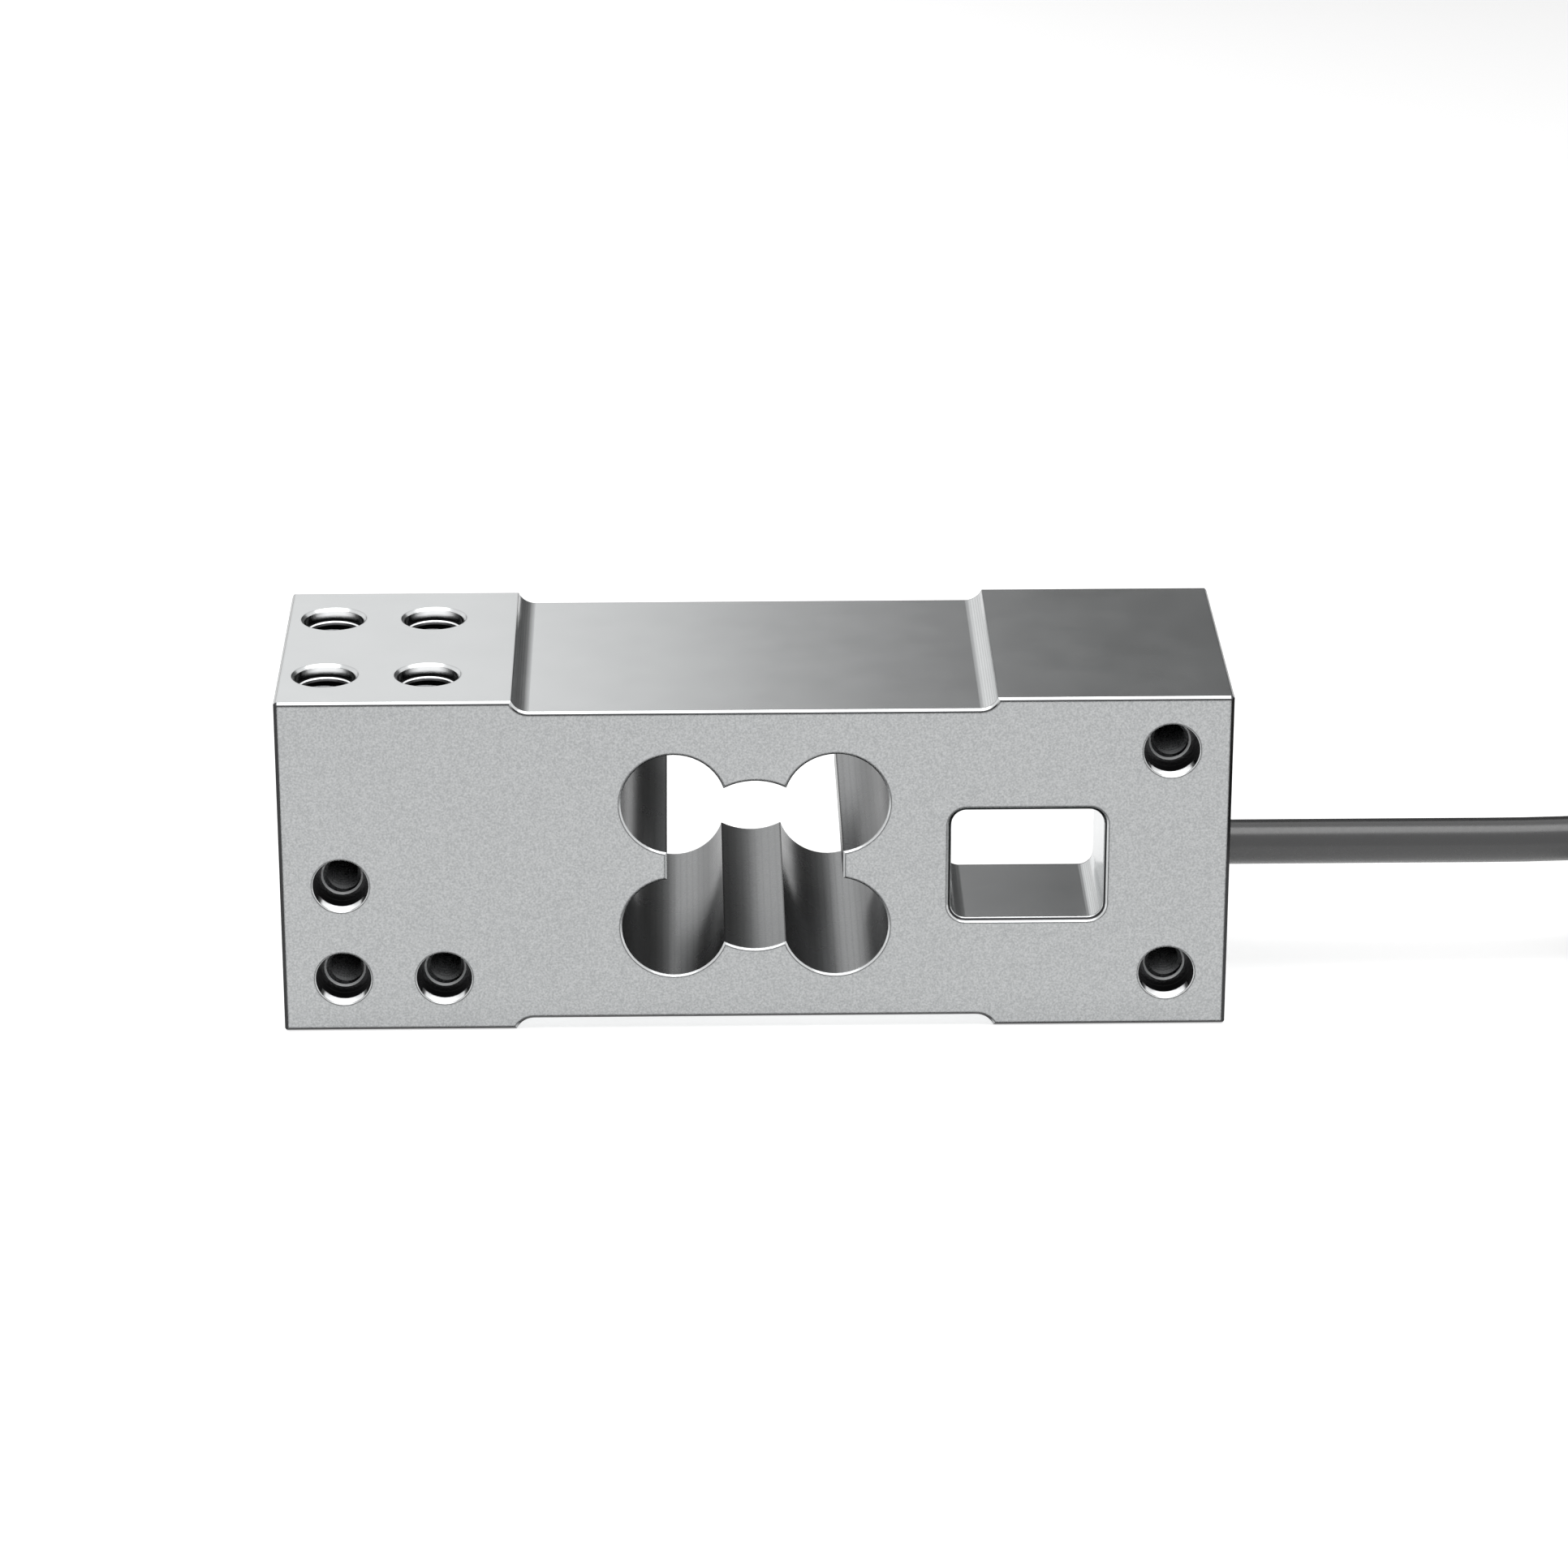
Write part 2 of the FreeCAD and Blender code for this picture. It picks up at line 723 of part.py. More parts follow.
def turn_face(offset):
    """What lies inside a line parallel to the inner turn: two round end folds and a waist."""
    half = fold_spacing / 2
    fold, waist, pinch = fold_radius + offset, waist_half + offset, pinch_radius - offset
    towards = V(-half, waist + pinch, 0).normalize() * fold
    touch = {
        (i, j): V(hank_x + i * (half + towards.x), j * towards.y, 0) for i in (-1, 1) for j in (-1, 1)
    }
    ends = {i: V(hank_x + i * (half + fold), 0, 0) for i in (-1, 1)}
    waists = {j: V(hank_x, j * waist, 0) for j in (-1, 1)}
    arcs = [
        Part.Arc(touch[1, 1], ends[1], touch[1, -1]),
        Part.Arc(touch[1, -1], waists[-1], touch[-1, -1]),
        Part.Arc(touch[-1, -1], ends[-1], touch[-1, 1]),
        Part.Arc(touch[-1, 1], waists[1], touch[1, 1]),
    ]
    return Part.Face(Part.Wire([arc.toShape() for arc in arcs]))


def turn_ring(inner, outer, z0, z1):
    ring = turn_face(outer).cut(turn_face(inner))
    ring.translate(V(0, 0, z0))
    return ring.extrude(V(0, 0, z1 - z0))


def strap_section(offset):
    """Line round the waist's cables, at an offset from their centres, in the YZ plane."""
    centres = [
        (waist_half, layer_z[2]),
        (-outer_waist, tail_z),
        (-outer_waist, layer_z[0]),
        (outer_waist, layer_z[0]),
        (outer_waist, layer_z[1]),
    ]
    corners = [V(0, y, z) for y, z in centres]
    edges = []
    for k, corner in enumerate(corners):
        before = (corner - corners[k - 1]).normalize()
        after = (corners[(k + 1) % len(corners)] - corner).normalize()
        sides = [V(0, before.z, -before.y), V(0, after.z, -after.y)]
        middle = (sides[0] + sides[1]).normalize()
        edges.append([corner + side * offset for side in (sides[0], middle, sides[1])])
    shapes = []
    for (start, middle, end), (following, _, _) in zip(edges, edges[1:] + edges[:1]):
        shapes.append(Part.Arc(start, middle, end).toShape())
        shapes.append(Part.LineSegment(end, following).toShape())
    return Part.Face(Part.Wire(shapes))


def hank_strap():
    """A band round the hank's waist, with its overlapping end on top."""
    inner = cable_radius + strap_slack
    outer = inner + strap_thickness
    section = strap_section(outer).cut(strap_section(inner))
    section.translate(V(hank_x - strap_width / 2, 0, 0))
    band = section.extrude(V(strap_width, 0, 0))
    # the flap lies on the sloping top, which runs from the tail to the cable that comes in
    low_end, high_end = V(0, waist_half, layer_z[2]), V(0, -outer_waist, tail_z)
    slope = (high_end - low_end).normalize()
    out = V(0, -slope.z, slope.y) * (1 if slope.y > 0 else -1)
    middle = (low_end + high_end) * 0.5
    reach = slope * (strap_flap / 2)
    low, high = out * outer, out * (outer + strap_thickness)
    corners = [middle - reach + low, middle + reach + low, middle + reach + high, middle - reach + high]
    flap = Part.Face(Part.makePolygon(corners + corners[:1]))
    flap.translate(V(hank_x - strap_width / 2, 0, 0))
    return fuse([band, flap.extrude(V(strap_width, 0, 0))])


def cable_hank(strap):
    """Outer shape of the coiled turns: two layers next to the block, and three in the half away from it."""
    low = layer_z[1] + cable_radius
    high = layer_z[2] + cable_radius
    inner, outer = -cable_radius, cable_diameter + cable_radius
    reach = fold_spacing + fold_radius
    far_half = box(hank_x, hank_x + reach, -reach, reach, low, high)
    upper = turn_ring(inner, outer, low, high).common(far_half)
    return fuse([turn_ring(inner, outer, 0, low), upper]).cut(strap)


def end_sleeve():
    """Heat-shrink sleeve over the jacket's end, necked down on the leads."""
    points = tail_route()
    end, along = points[-1], (points[-1] - points[-2]).normalize()
    start = end - along * sleeve_overlap
    straight_length = sleeve_length - sleeve_neck_length
    straight = Part.makeCylinder(sleeve_diameter / 2, straight_length, start, along)
    neck = Part.makeCone(
        sleeve_diameter / 2, sleeve_neck / 2, sleeve_neck_length, start + along * straight_length, along
    )
    return fuse([straight, neck]).cut(Part.makeCylinder(cable_radius, sleeve_overlap, start, along))


def lead_route(across, up, fan):
    """From the sleeve's neck, down onto the hank, spreading by fan."""
    points = tail_route()
    along = (points[-1] - points[-2]).normalize()
    side = V(-along.y, along.x, 0)
    neck = points[-1] + along * (sleeve_length - sleeve_overlap)
    rest_z = layer_z[1] + cable_radius + lead_diameter / 2 + layer_gap
    start = neck + side * across + Z_AXIS * up

    def further(share, spread, z):
        place = neck + along * (lead_length * share) + side * spread
        return V(place.x, place.y, z)

    return [
        start,
        start + along * (lead_length * 0.2),
        further(0.42, (across + fan) / 2, rest_z + 0.5 * (start.z - rest_z)),
        further(0.7, fan * 0.85, rest_z + 0.1),
        further(1.0, fan * 1.1, rest_z),
    ]


def lead_and_tip(across, up, fan, diameter):
    """An insulated lead, and the stripped and tinned end that stands out of it."""
    points = lead_route(across, up, fan)
    along = (points[-1] - points[-2]).normalize()
    tip = thin_wire([points[-1], points[-1] + along * lead_tip], tip_diameter)
    return thin_wire(points, diameter), tip


# ---- all pieces -----------------------------------------------------------------------------------------
PARTS = {"sensing_body": sensing_body()}

gauge_places = [(-1, -1), (-1, 1), (1, -1), (1, 1)]
for number, (sign_x, sign_y) in enumerate(gauge_places, 1):
    PARTS[f"strain_gauge_{number}"] = strain_gauge(sign_x, sign_y)
for number, sign_x in enumerate((-1, 1), 1):
    PARTS[f"terminal_strip_{number}"] = terminal_strip(sign_x)
for number, (layer, side) in enumerate([(0, -1), (0, 1), (1, -1), (1, 1)], 1):
    PARTS[f"bridge_wire_{number}"] = bridge_wire(layer, side)
PARTS["gauge_sealant"] = gauge_sealant()

PARTS["board_adhesive"] = board_adhesive()
PARTS["compensation_board"] = compensation_board()
for index, name in enumerate(["span_resistor_1", "span_resistor_2", "zero_resistor", "balance_resistor"]):
    PARTS[name] = chip(index)
colours = ["red", "black", "green", "white"]
for colour, (column, side) in zip(colours, [(1, -1), (1, 1), (-1, -1), (-1, 1)]):
    PARTS[f"conductor_{colour}"] = conductor(column, side)
board_wires = [PARTS[name] for name in PARTS if name.startswith(("bridge_wire", "conductor"))]
PARTS["solder_joints"] = solder_joints(board_wires)

PARTS["cable_seal"] = cable_seal()
PARTS["cable"], cable_run, cable_radii = rod(cable_route(), cable_diameter)
PARTS["cable_tail"] = rod(tail_route(), cable_diameter)[0]
PARTS["hank_strap"] = hank_strap()
PARTS["cable_hank"] = cable_hank(PARTS["hank_strap"])
PARTS["end_sleeve"] = end_sleeve()
half = lead_pitch / 2
for colour, (across, up, fan) in zip(
    colours, [(-half, -half, -5.2), (-half, half, -1.8), (half, half, 1.6), (half, -half, 5.0)]
):
    lead, tip = lead_and_tip(across, up, fan, lead_diameter)
    PARTS[f"lead_{colour}"] = lead
    PARTS[f"tip_{colour}"] = tip
PARTS["lead_drain"], PARTS["tip_drain"] = lead_and_tip(0, drain_offset, 0, drain_diameter)

os.makedirs("parts", exist_ok=True)
for name, shape in PARTS.items():
    print(f"{name}: valid {shape.isValid()}, {len(shape.Solids)} solids, {shape.Volume:.2f} mm3")
    shape.exportStep(f"parts/{name}.step")
print("cable radii", [round(r, 1) for r in cable_radii])
section = math.pi * cable_radius**2
print("cable volume over section times length", PARTS["cable"].Volume / (section * cable_run))
print("pinch radius", round(pinch_radius, 1), "of the outer turn", round(pinch_radius - cable_diameter, 1))
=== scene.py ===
"""Looks of the single point load cell: metal, threads, wiring, cable, hank and studio.

Metres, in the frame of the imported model: +X to the cable end, -Y the face with the side holes, +Z up.
"""

import json
import math

import bpy
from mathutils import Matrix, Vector

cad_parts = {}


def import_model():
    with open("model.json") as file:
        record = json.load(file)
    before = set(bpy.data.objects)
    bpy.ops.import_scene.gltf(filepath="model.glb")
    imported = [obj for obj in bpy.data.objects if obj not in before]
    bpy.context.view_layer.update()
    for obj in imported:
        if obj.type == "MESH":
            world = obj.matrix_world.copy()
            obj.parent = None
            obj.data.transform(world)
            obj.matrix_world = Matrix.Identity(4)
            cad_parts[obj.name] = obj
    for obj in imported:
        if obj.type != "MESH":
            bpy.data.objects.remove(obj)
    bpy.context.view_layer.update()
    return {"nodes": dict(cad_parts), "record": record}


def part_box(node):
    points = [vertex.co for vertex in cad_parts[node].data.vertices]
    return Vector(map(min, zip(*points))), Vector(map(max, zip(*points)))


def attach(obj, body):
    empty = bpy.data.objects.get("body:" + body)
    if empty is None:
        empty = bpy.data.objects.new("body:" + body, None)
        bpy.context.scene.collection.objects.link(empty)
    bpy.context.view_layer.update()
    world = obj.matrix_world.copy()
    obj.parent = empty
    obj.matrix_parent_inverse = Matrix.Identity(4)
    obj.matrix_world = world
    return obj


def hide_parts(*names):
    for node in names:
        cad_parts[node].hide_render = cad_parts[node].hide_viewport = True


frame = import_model()
nodes = frame["nodes"]

MM = 0.001
X_AXIS, Y_AXIS, Z_AXIS = Vector((1, 0, 0)), Vector((0, 1, 0)), Vector((0, 0, 1))
lowest, highest = (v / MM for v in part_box("sensing_body"))

# ---- sizes of the CAD model that its boxes don't give, in mm ------------------------------------
SIDE_HOLES = [(-65.4, 9), (-49.4, 9), (-65.4, 25), (65.4, 9), (65.4, 47)]  # x, z
SIDE_THREAD, SIDE_SEAT_DEPTH, SIDE_HOLE_DEPTH = 6, 4.5, 18.0
TOP_HOLES = [(x, y) for x in (-67.6, -51.4) for y in (-12.75, 12.75)]
TOP_THREAD, TOP_SEAT_DEPTH, TOP_HOLE_DEPTH = 8, 2.0, 20.0
THREAD_BREAK = {SIDE_THREAD: 0.35, TOP_THREAD: 0.5}
THREAD_PITCH = {SIDE_THREAD: 1.0, TOP_THREAD: 1.25}
CABLE_DIAMETER = 7.4
CABLE_Z = 21
HANK_X = 204.0  # middle of the hank, where its strap is
FOLD_SPACING = 65.4  # between the centres of the hank's two end folds
INNER_WAIST, OUTER_WAIST = 11.0, 18.4  # y of the inner and outer turns at the strap
INNER_FOLD, OUTER_FOLD = 22.2, 29.6  # their radius round the folds
INNER_PINCH, OUTER_PINCH = 31.1, 23.7  # and round the waist's bend
LAYERS = [4.95, 12.45, 19.95]  # z of the turns on each layer
TAIL_Z = 20.75
TAIL_LENGTH = 24
STRAP_WIDTH, STRAP_THICKNESS, STRAP_SLACK = 12.0, 1.2, 0.05
STRAP_CENTRES = [  # y, z of the cables that the strap runs round
    (INNER_WAIST, LAYERS[2]), (-OUTER_WAIST, TAIL_Z), (-OUTER_WAIST, LAYERS[0]),
    (OUTER_WAIST, LAYERS[0]), (OUTER_WAIST, LAYERS[1]),
]
STRAP_LAP_FROM, STRAP_LAP_TO = 6.3, -13.7  # y of the lap's start and end on top
SLEEVE_OVERLAP, SLEEVE_LENGTH = 11.0, 20.0
SLEEVE_PROFILE = [  # distance along the sleeve, radius
    (0, 3.9), (0.25, 4.2), (1.2, 4.24), (9.8, 4.2), (11.4, 4.0),
    (13.6, 2.9), (15.5, 2.5), (19.7, 2.42), (20, 2.3),
]
LEAD_DIAMETER, DRAIN_DIAMETER, LEAD_LENGTH, LAYER_GAP = 1.3, 0.9, 22.0, 0.1
LEADS = [  # colour, offset across and upwards in the sleeve's neck, spread at the end, diameter
    ("red", -0.8, -0.8, -5.2, LEAD_DIAMETER),
    ("black", -0.8, 0.8, -1.8, LEAD_DIAMETER),
    ("green", 0.8, 0.8, 1.6, LEAD_DIAMETER),
    ("white", 0.8, -0.8, 5.0, LEAD_DIAMETER),
    ("drain", 0, 1.85, 0, DRAIN_DIAMETER),
]

# ---- zones of the block's metal and of its painted shade and highlights, in mm. A pair is where a zone fades in or out, or its two ends -
CUTOUT_END_X, CUTOUT_FOOT_Z, CUTOUT_HEAD_Z, CUTOUT_DEPTH = (22.0, 22.5), (6, 7), (49, 50), (0.4, 0.6)
WINDOW_X = (28, 59)
WINDOW_LINE_FROM, WINDOW_LINE_TO = (0.22, 0.30), (0.54, 0.62)  # depth of the painted shade line on its broken edge
HOLES_LEFT_X, HOLES_RIGHT_X, HOLES_END_X = -44, 60, 73
# where the holes' painted highlights go: the lit lip by the mouth and the ring at the thread's edge
SIDE_HOLES_Z, SIDE_MOUTH_DEPTH, SIDE_LIT_DEPTH, SIDE_RING_DEPTH = (3, 52.5), 0.2, (2.2, 2.6), (4.53, 4.9)
TOP_HOLES_Y, TOP_HOLES_DEPTH, TOP_LIT_DEPTH, TOP_RING_DEPTH = 19, (0.45, 21), (1.0, 1.75), (2.03, 2.22)
END_CHAMFER_X, LOWER_CHAMFER_Z, UPPER_CHAMFER_Z = (74.3, 74.45), (4, 5), (52, 53)
UPPER_CHAMFER_LINE = (0.14, 0.22)  # depth, where its dark outer edge, painted shade, ends
UPPER_FACES_Z = (50, 53)
CREASE_REACH, EDGE_RADIUS = 0.45, 0.1  # how far from an edge its dark line of painted shade and its rounding go

# ---- parts of the block's normal along an axis: where a zone starts, and where it is full -------
SQUARE_ON = (0.95, 0.99)
CUTOUT_WALL, BORED_WALL = (0.5, 0.3), (0.2, 0.1)
SLANTED_FROM, SLANTED_TO = (0.4, 0.5), (0.9, 0.85)
SIDE_LIT_FACING, TOP_LIT_FACING = (0.5, 0.75), (-0.55, -0.95)
LEANS_UP, LEANS_DOWN = (0.3, 0.5), (-0.3, -0.5)
LOBE_SIDE, LOBE_SHIFT = (0.3, 0.75), 0.1  # a lobe's sides get the darkest painted shade; its lighter middle lies to the right
CREASE_BEND = (0.9995, 0.99)  # cosine between the face and its rounded edge


# ---- materials ----------------------------------------------------------------------------------
NOISE_RANGE = (0.3, 0.7)
FAINT_LINE, FULL_LINE, UPPER_LINE, CHAMFER_LINE = 0.15, 0.95, 0.25, 0.97  # darkness of the painted shade along edges


def add_node(tree, kind, inputs=None, **settings):
    """Adds a shader node. Its inputs are plain values, or the outputs of other nodes."""
    node = tree.nodes.new(kind)
    for name, value in settings.items():
        setattr(node, name, value)
    for name, value in (inputs or {}).items():
        if isinstance(value, bpy.types.NodeSocket):
            tree.links.new(value, node.inputs[name])
        else:
            node.inputs[name].default_value = value
    return node


class Finish:
    """A material, and short ways to add nodes to its shader."""

    def __init__(self, name, color, roughness, metallic=0.0, **sockets):
        self.material = bpy.data.materials.new(name)
        self.material.use_nodes = True
        self.tree = self.material.node_tree
        self.shader = self.tree.nodes["Principled BSDF"]
        self.shader.inputs["Base Color"].default_value = (*color, 1)
        self.shader.inputs["Roughness"].default_value = roughness
        self.shader.inputs["Metallic"].default_value = metallic
        for socket, value in sockets.items():
            self.shader.inputs[socket.replace("_", " ")].default_value = value
        self.place = self.add("ShaderNodeTexCoord").outputs["Object"]

    def add(self, kind, inputs=None, **settings):
        return add_node(self.tree, kind, inputs, **settings)

    def link(self, output, socket):
        self.tree.links.new(output, self.shader.inputs[socket])

    def noise(self, size_mm, detail=2.0, stretch=(1, 1, 1)):
        """Noise with spots of about that size. A stretch above 1 draws it out along that axis."""
        spread = self.add(
            "ShaderNodeMapping", {"Vector": self.place, "Scale": [1 / s for s in stretch]}
        )
        return self.add(
            "ShaderNodeTexNoise",
            {"Vector": spread.outputs[0], "Scale": 1 / (size_mm * MM), "Detail": detail},
        ).outputs["Fac"]

    def span(self, value, low, high, to_low=0.0, to_high=1.0):
        """Maps low to to_low and high to to_high, and holds the result between them."""
        return self.add(
            "ShaderNodeMapRange",
            {"Value": value, "From Min": low, "From Max": high, "To Min": to_low, "To Max": to_high},
        ).outputs[0]

    def mix(self, fac, a, b):
        """Colour a where fac is 0 and b where it is 1."""
        node = self.add("ShaderNodeMix", data_type="RGBA")
        for socket, value in (("Factor_Float", fac), ("A_Color", a), ("B_Color", b)):
            target = next(s for s in node.inputs if s.identifier == socket)
            if isinstance(value, bpy.types.NodeSocket):
                self.tree.links.new(value, target)
            else:
                target.default_value = value if socket == "Factor_Float" else (*value, 1)
        return next(s for s in node.outputs if s.identifier == "Result_Color")

    def on_noise(self, noise, low, high):
        """Spreads the middle part of a noise, which holds nearly all of it, from low to high."""
        return self.span(noise, *NOISE_RANGE, low, high)

    def mix_noise(self, noise, low, high):
        return self.mix(self.on_noise(noise, 0, 1), low, high)

    def math(self, operation, a, b=0.0):
        return self.add("ShaderNodeMath", {0: a, 1: b}, operation=operation).outputs[0]

    def vector(self, operation, a, b=(0, 0, 0)):
        return self.add("ShaderNodeVectorMath", {0: a, 1: b}, operation=operation).outputs

    def fold_in(self, operation, first, *others):
        for other in others:
            first = self.math(operation, first, other)
        return first

    def all_of(self, *masks):
        return self.fold_in("MULTIPLY", *masks)

    def any_of(self, *masks):
        return self.fold_in("MAXIMUM", *masks)

    def without(self, mask):
        return self.math("SUBTRACT", 1, mask)

    def above(self, place, limit_mm):
        return self.math("GREATER_THAN", place, limit_mm * MM)

    def below(self, place, limit_mm):
        return self.math("LESS_THAN", place, limit_mm * MM)

    def between(self, place, limits_mm):
        return self.all_of(self.above(place, limits_mm[0]), self.below(place, limits_mm[1]))

    def rise(self, place, limits_mm):
        """0 below the lower limit and 1 above the upper one."""
        return self.span(place, limits_mm[0] * MM, limits_mm[1] * MM)

    def fall(self, place, limits_mm):
        """1 below the lower limit and 0 above the upper one."""
        return self.span(place, limits_mm[1] * MM, limits_mm[0] * MM)

    def bump(self, height, depth_mm, strength=1.0, over=None):
        inputs = {"Height": height, "Distance": depth_mm * MM, "Strength": strength}
        if over:
            inputs["Normal"] = over
        return self.add("ShaderNodeBump", inputs).outputs[0]


def hole_masks(f):
    """The side and top holes: 1 in them, where painted shade goes, and 1 where painted highlights go: where
    they are lit by the mouth and at the thread's edge.
    """
    left = f.below(f.x, HOLES_LEFT_X)
    at_holes = f.any_of(left, f.above(f.x, HOLES_RIGHT_X))
    within = f.below(f.from_middle, HOLES_END_X)
    side_hole = f.all_of(
        at_holes, within, f.between(f.z, SIDE_HOLES_Z), f.above(f.depth_y, SIDE_MOUTH_DEPTH)
    )
    side_lit = f.all_of(f.fall(f.depth_y, SIDE_LIT_DEPTH), f.span(f.facing["Z"], *SIDE_LIT_FACING))
    top_hole = f.all_of(
        f.between(f.depth_z, TOP_HOLES_DEPTH), left, f.below(f.from_axis, TOP_HOLES_Y), within
    )
    top_lit = f.all_of(f.fall(f.depth_z, TOP_LIT_DEPTH), f.span(f.facing["Y"], *TOP_LIT_FACING))
    side_bright = f.any_of(side_lit, f.between(f.depth_y, SIDE_RING_DEPTH))
    top_bright = f.any_of(top_lit, f.between(f.depth_z, TOP_RING_DEPTH))
    hole = f.any_of(side_hole, top_hole)
    hole_highlight = f.math("ADD", f.all_of(side_hole, side_bright), f.all_of(top_hole, top_bright))
    return hole, hole_highlight, f.all_of(side_hole, side_lit), f.all_of(top_hole, top_lit)


def painted_edge_shade(f, hole, in_height):
    """Painted shade: fine dark lines where the faces meet their edges, and dark chamfers at the ends and
    below.
    """
    face = f.add("ShaderNodeNewGeometry").outputs["True Normal"]
    rounded = f.add("ShaderNodeBevel", {"Radius": CREASE_REACH * MM}, samples=6).outputs[0]
    bent = f.vector("DOT_PRODUCT", face, rounded)["Value"]
    crease = f.all_of(f.span(bent, *CREASE_BEND), f.without(hole))
    blasted_or_bored = f.any_of(f.on_side, f.span(f.across, *BORED_WALL))
    upper = f.all_of(f.on_level, f.rise(f.z, UPPER_FACES_Z))
    weight = f.all_of(
        f.span(blasted_or_bored, 0, 1, FAINT_LINE, FULL_LINE), f.span(upper, 0, 1, 1.0, UPPER_LINE)
    )
    slanted = f.all_of(f.span(f.across, *SLANTED_FROM), f.span(f.across, *SLANTED_TO))
    at_end = f.rise(f.from_middle, END_CHAMFER_X)
    lower = f.all_of(f.span(f.facing["Z"], *LEANS_DOWN), f.fall(f.z, LOWER_CHAMFER_Z))
    below_rim = f.all_of(
        f.span(f.facing["Z"], *LEANS_UP), f.rise(f.z, UPPER_CHAMFER_Z),
        f.fall(f.depth_y, UPPER_CHAMFER_LINE),
    )
    at_window = f.all_of(
        f.between(f.x, WINDOW_X), in_height,
        f.rise(f.depth_y, WINDOW_LINE_FROM), f.fall(f.depth_y, WINDOW_LINE_TO),
    )
    chamfer = f.any_of(f.all_of(slanted, f.any_of(at_end, lower, below_rim)), at_window)
    return f.any_of(f.all_of(crease, weight), f.all_of(chamfer, CHAMFER_LINE))


def body_metal():
    """Satin aluminium: finely blasted sides, smoother upper and lower faces, crisp edges, with painted
    shade: dark cut-outs, holes and edge lines, darker sides; and painted highlights in the holes.
    """
    f = Finish("body_metal", (0.655, 0.668, 0.672), 0.22, 1.0)
    place = f.add("ShaderNodeSeparateXYZ", {0: f.place}).outputs
    normal = f.add("ShaderNodeTexCoord").outputs["Normal"]
    f.facing = f.add("ShaderNodeSeparateXYZ", {0: normal}).outputs
    f.x, f.z = place["X"], place["Z"]
    f.from_middle = f.math("ABSOLUTE", f.x)
    f.from_axis = f.math("ABSOLUTE", place["Y"])
    f.depth_y = f.math("SUBTRACT", highest.y * MM, f.from_axis)
    f.depth_z = f.math("SUBTRACT", highest.z * MM, f.z)
    f.across = f.math("ABSOLUTE", f.facing["Y"])
    f.on_side = f.span(f.across, *SQUARE_ON)
    f.on_level = f.span(f.math("ABSOLUTE", f.facing["Z"]), *SQUARE_ON)
    in_height = f.all_of(f.rise(f.z, CUTOUT_FOOT_Z), f.fall(f.z, CUTOUT_HEAD_Z))
    cutout = f.all_of(
        f.fall(f.from_middle, CUTOUT_END_X), in_height,
        f.rise(f.depth_y, CUTOUT_DEPTH), f.span(f.across, *CUTOUT_WALL),
    )
    hole, hole_highlight, side_lip, top_lip = hole_masks(f)

    grain = f.noise(0.3)
    patches = f.noise(9.0, 3.0)
    brushed = f.noise(0.16, 3.0, stretch=(60, 1, 1))
    # the sides' blasted grain, and painted shade: their metal darker than the upper faces'
    blasted_and_shaded = f.mix_noise(grain, (0.33, 0.338, 0.342), (0.47, 0.478, 0.481))
    plain = f.mix_noise(patches, (0.64, 0.653, 0.657), (0.67, 0.683, 0.687))
    # painted shade: the cut-out's walls darker than the metal, near black at the lobes' sides, lighter in
    # their middle a little to the right
    painted_cutout_shade = f.mix_noise(grain, (0.24, 0.244, 0.247), (0.29, 0.295, 0.298))
    sideways = f.math("ABSOLUTE", f.math("ADD", f.facing["X"], LOBE_SHIFT))
    painted_cutout_shade = f.mix(f.span(sideways, *LOBE_SIDE), painted_cutout_shade, (0.07, 0.072, 0.074))
    color = f.mix(cutout, f.mix(f.on_side, plain, blasted_and_shaded), painted_cutout_shade)
    # painted shade: the holes' insides near black; painted highlight: their lit lips and the ring at the
    # thread's edge near white
    color = f.mix(hole, color, f.mix(hole_highlight, (0.03, 0.03, 0.031), (0.93, 0.94, 0.945)))
    line = painted_edge_shade(f, hole, in_height)
    # painted shade: the edge lines and chamfers near black
    f.link(f.mix(line, color, (0.012, 0.012, 0.013)), "Base Color")

    smooth = f.on_noise(patches, 0.21, 0.24)
    rougher_side = f.all_of(f.on_side, f.math("SUBTRACT", f.on_noise(grain, 0.17, 0.22), smooth))
    rougher_inside = f.math("ADD", f.all_of(cutout, 0.05), f.all_of(hole_highlight, 0.2))
    f.link(f.fold_in("ADD", smooth, rougher_side, rougher_inside), "Roughness")

    relief = f.math(
        "ADD",
        f.all_of(grain, f.math("ADD", f.on_side, f.all_of(cutout, 0.06))),
        f.all_of(brushed, f.on_level, 0.25),
    )
    edge = f.add("ShaderNodeBevel", {"Radius": EDGE_RADIUS * MM}, samples=4).outputs[0]
    # the lit walls of the holes lean outwards a little, as a rounded lip does
    lean = f.add(
        "ShaderNodeCombineXYZ", {"Y": f.all_of(side_lip, -1.0), "Z": f.all_of(top_lip, 0.45)}
    )
    leaning = f.vector("ADD", f.bump(relief, 0.035, 0.8, edge), lean.outputs[0])[0]
    f.link(f.vector("NORMALIZE", leaning)[0], "Normal")
    return f.material


def thread_metal():
    # painted shade: the thread, in the same metal as the block, is coloured dark because it lies deep in the
    # hole
    f = Finish("thread_metal", (0.12, 0.122, 0.124), 0.3, 1.0)
    marks = f.noise(0.3, 3.0)
    f.link(f.on_noise(marks, 0.24, 0.36), "Roughness")
    f.link(f.mix_noise(marks, (0.09, 0.092, 0.094), (0.16, 0.163, 0.166)), "Base Color")
    return f.material


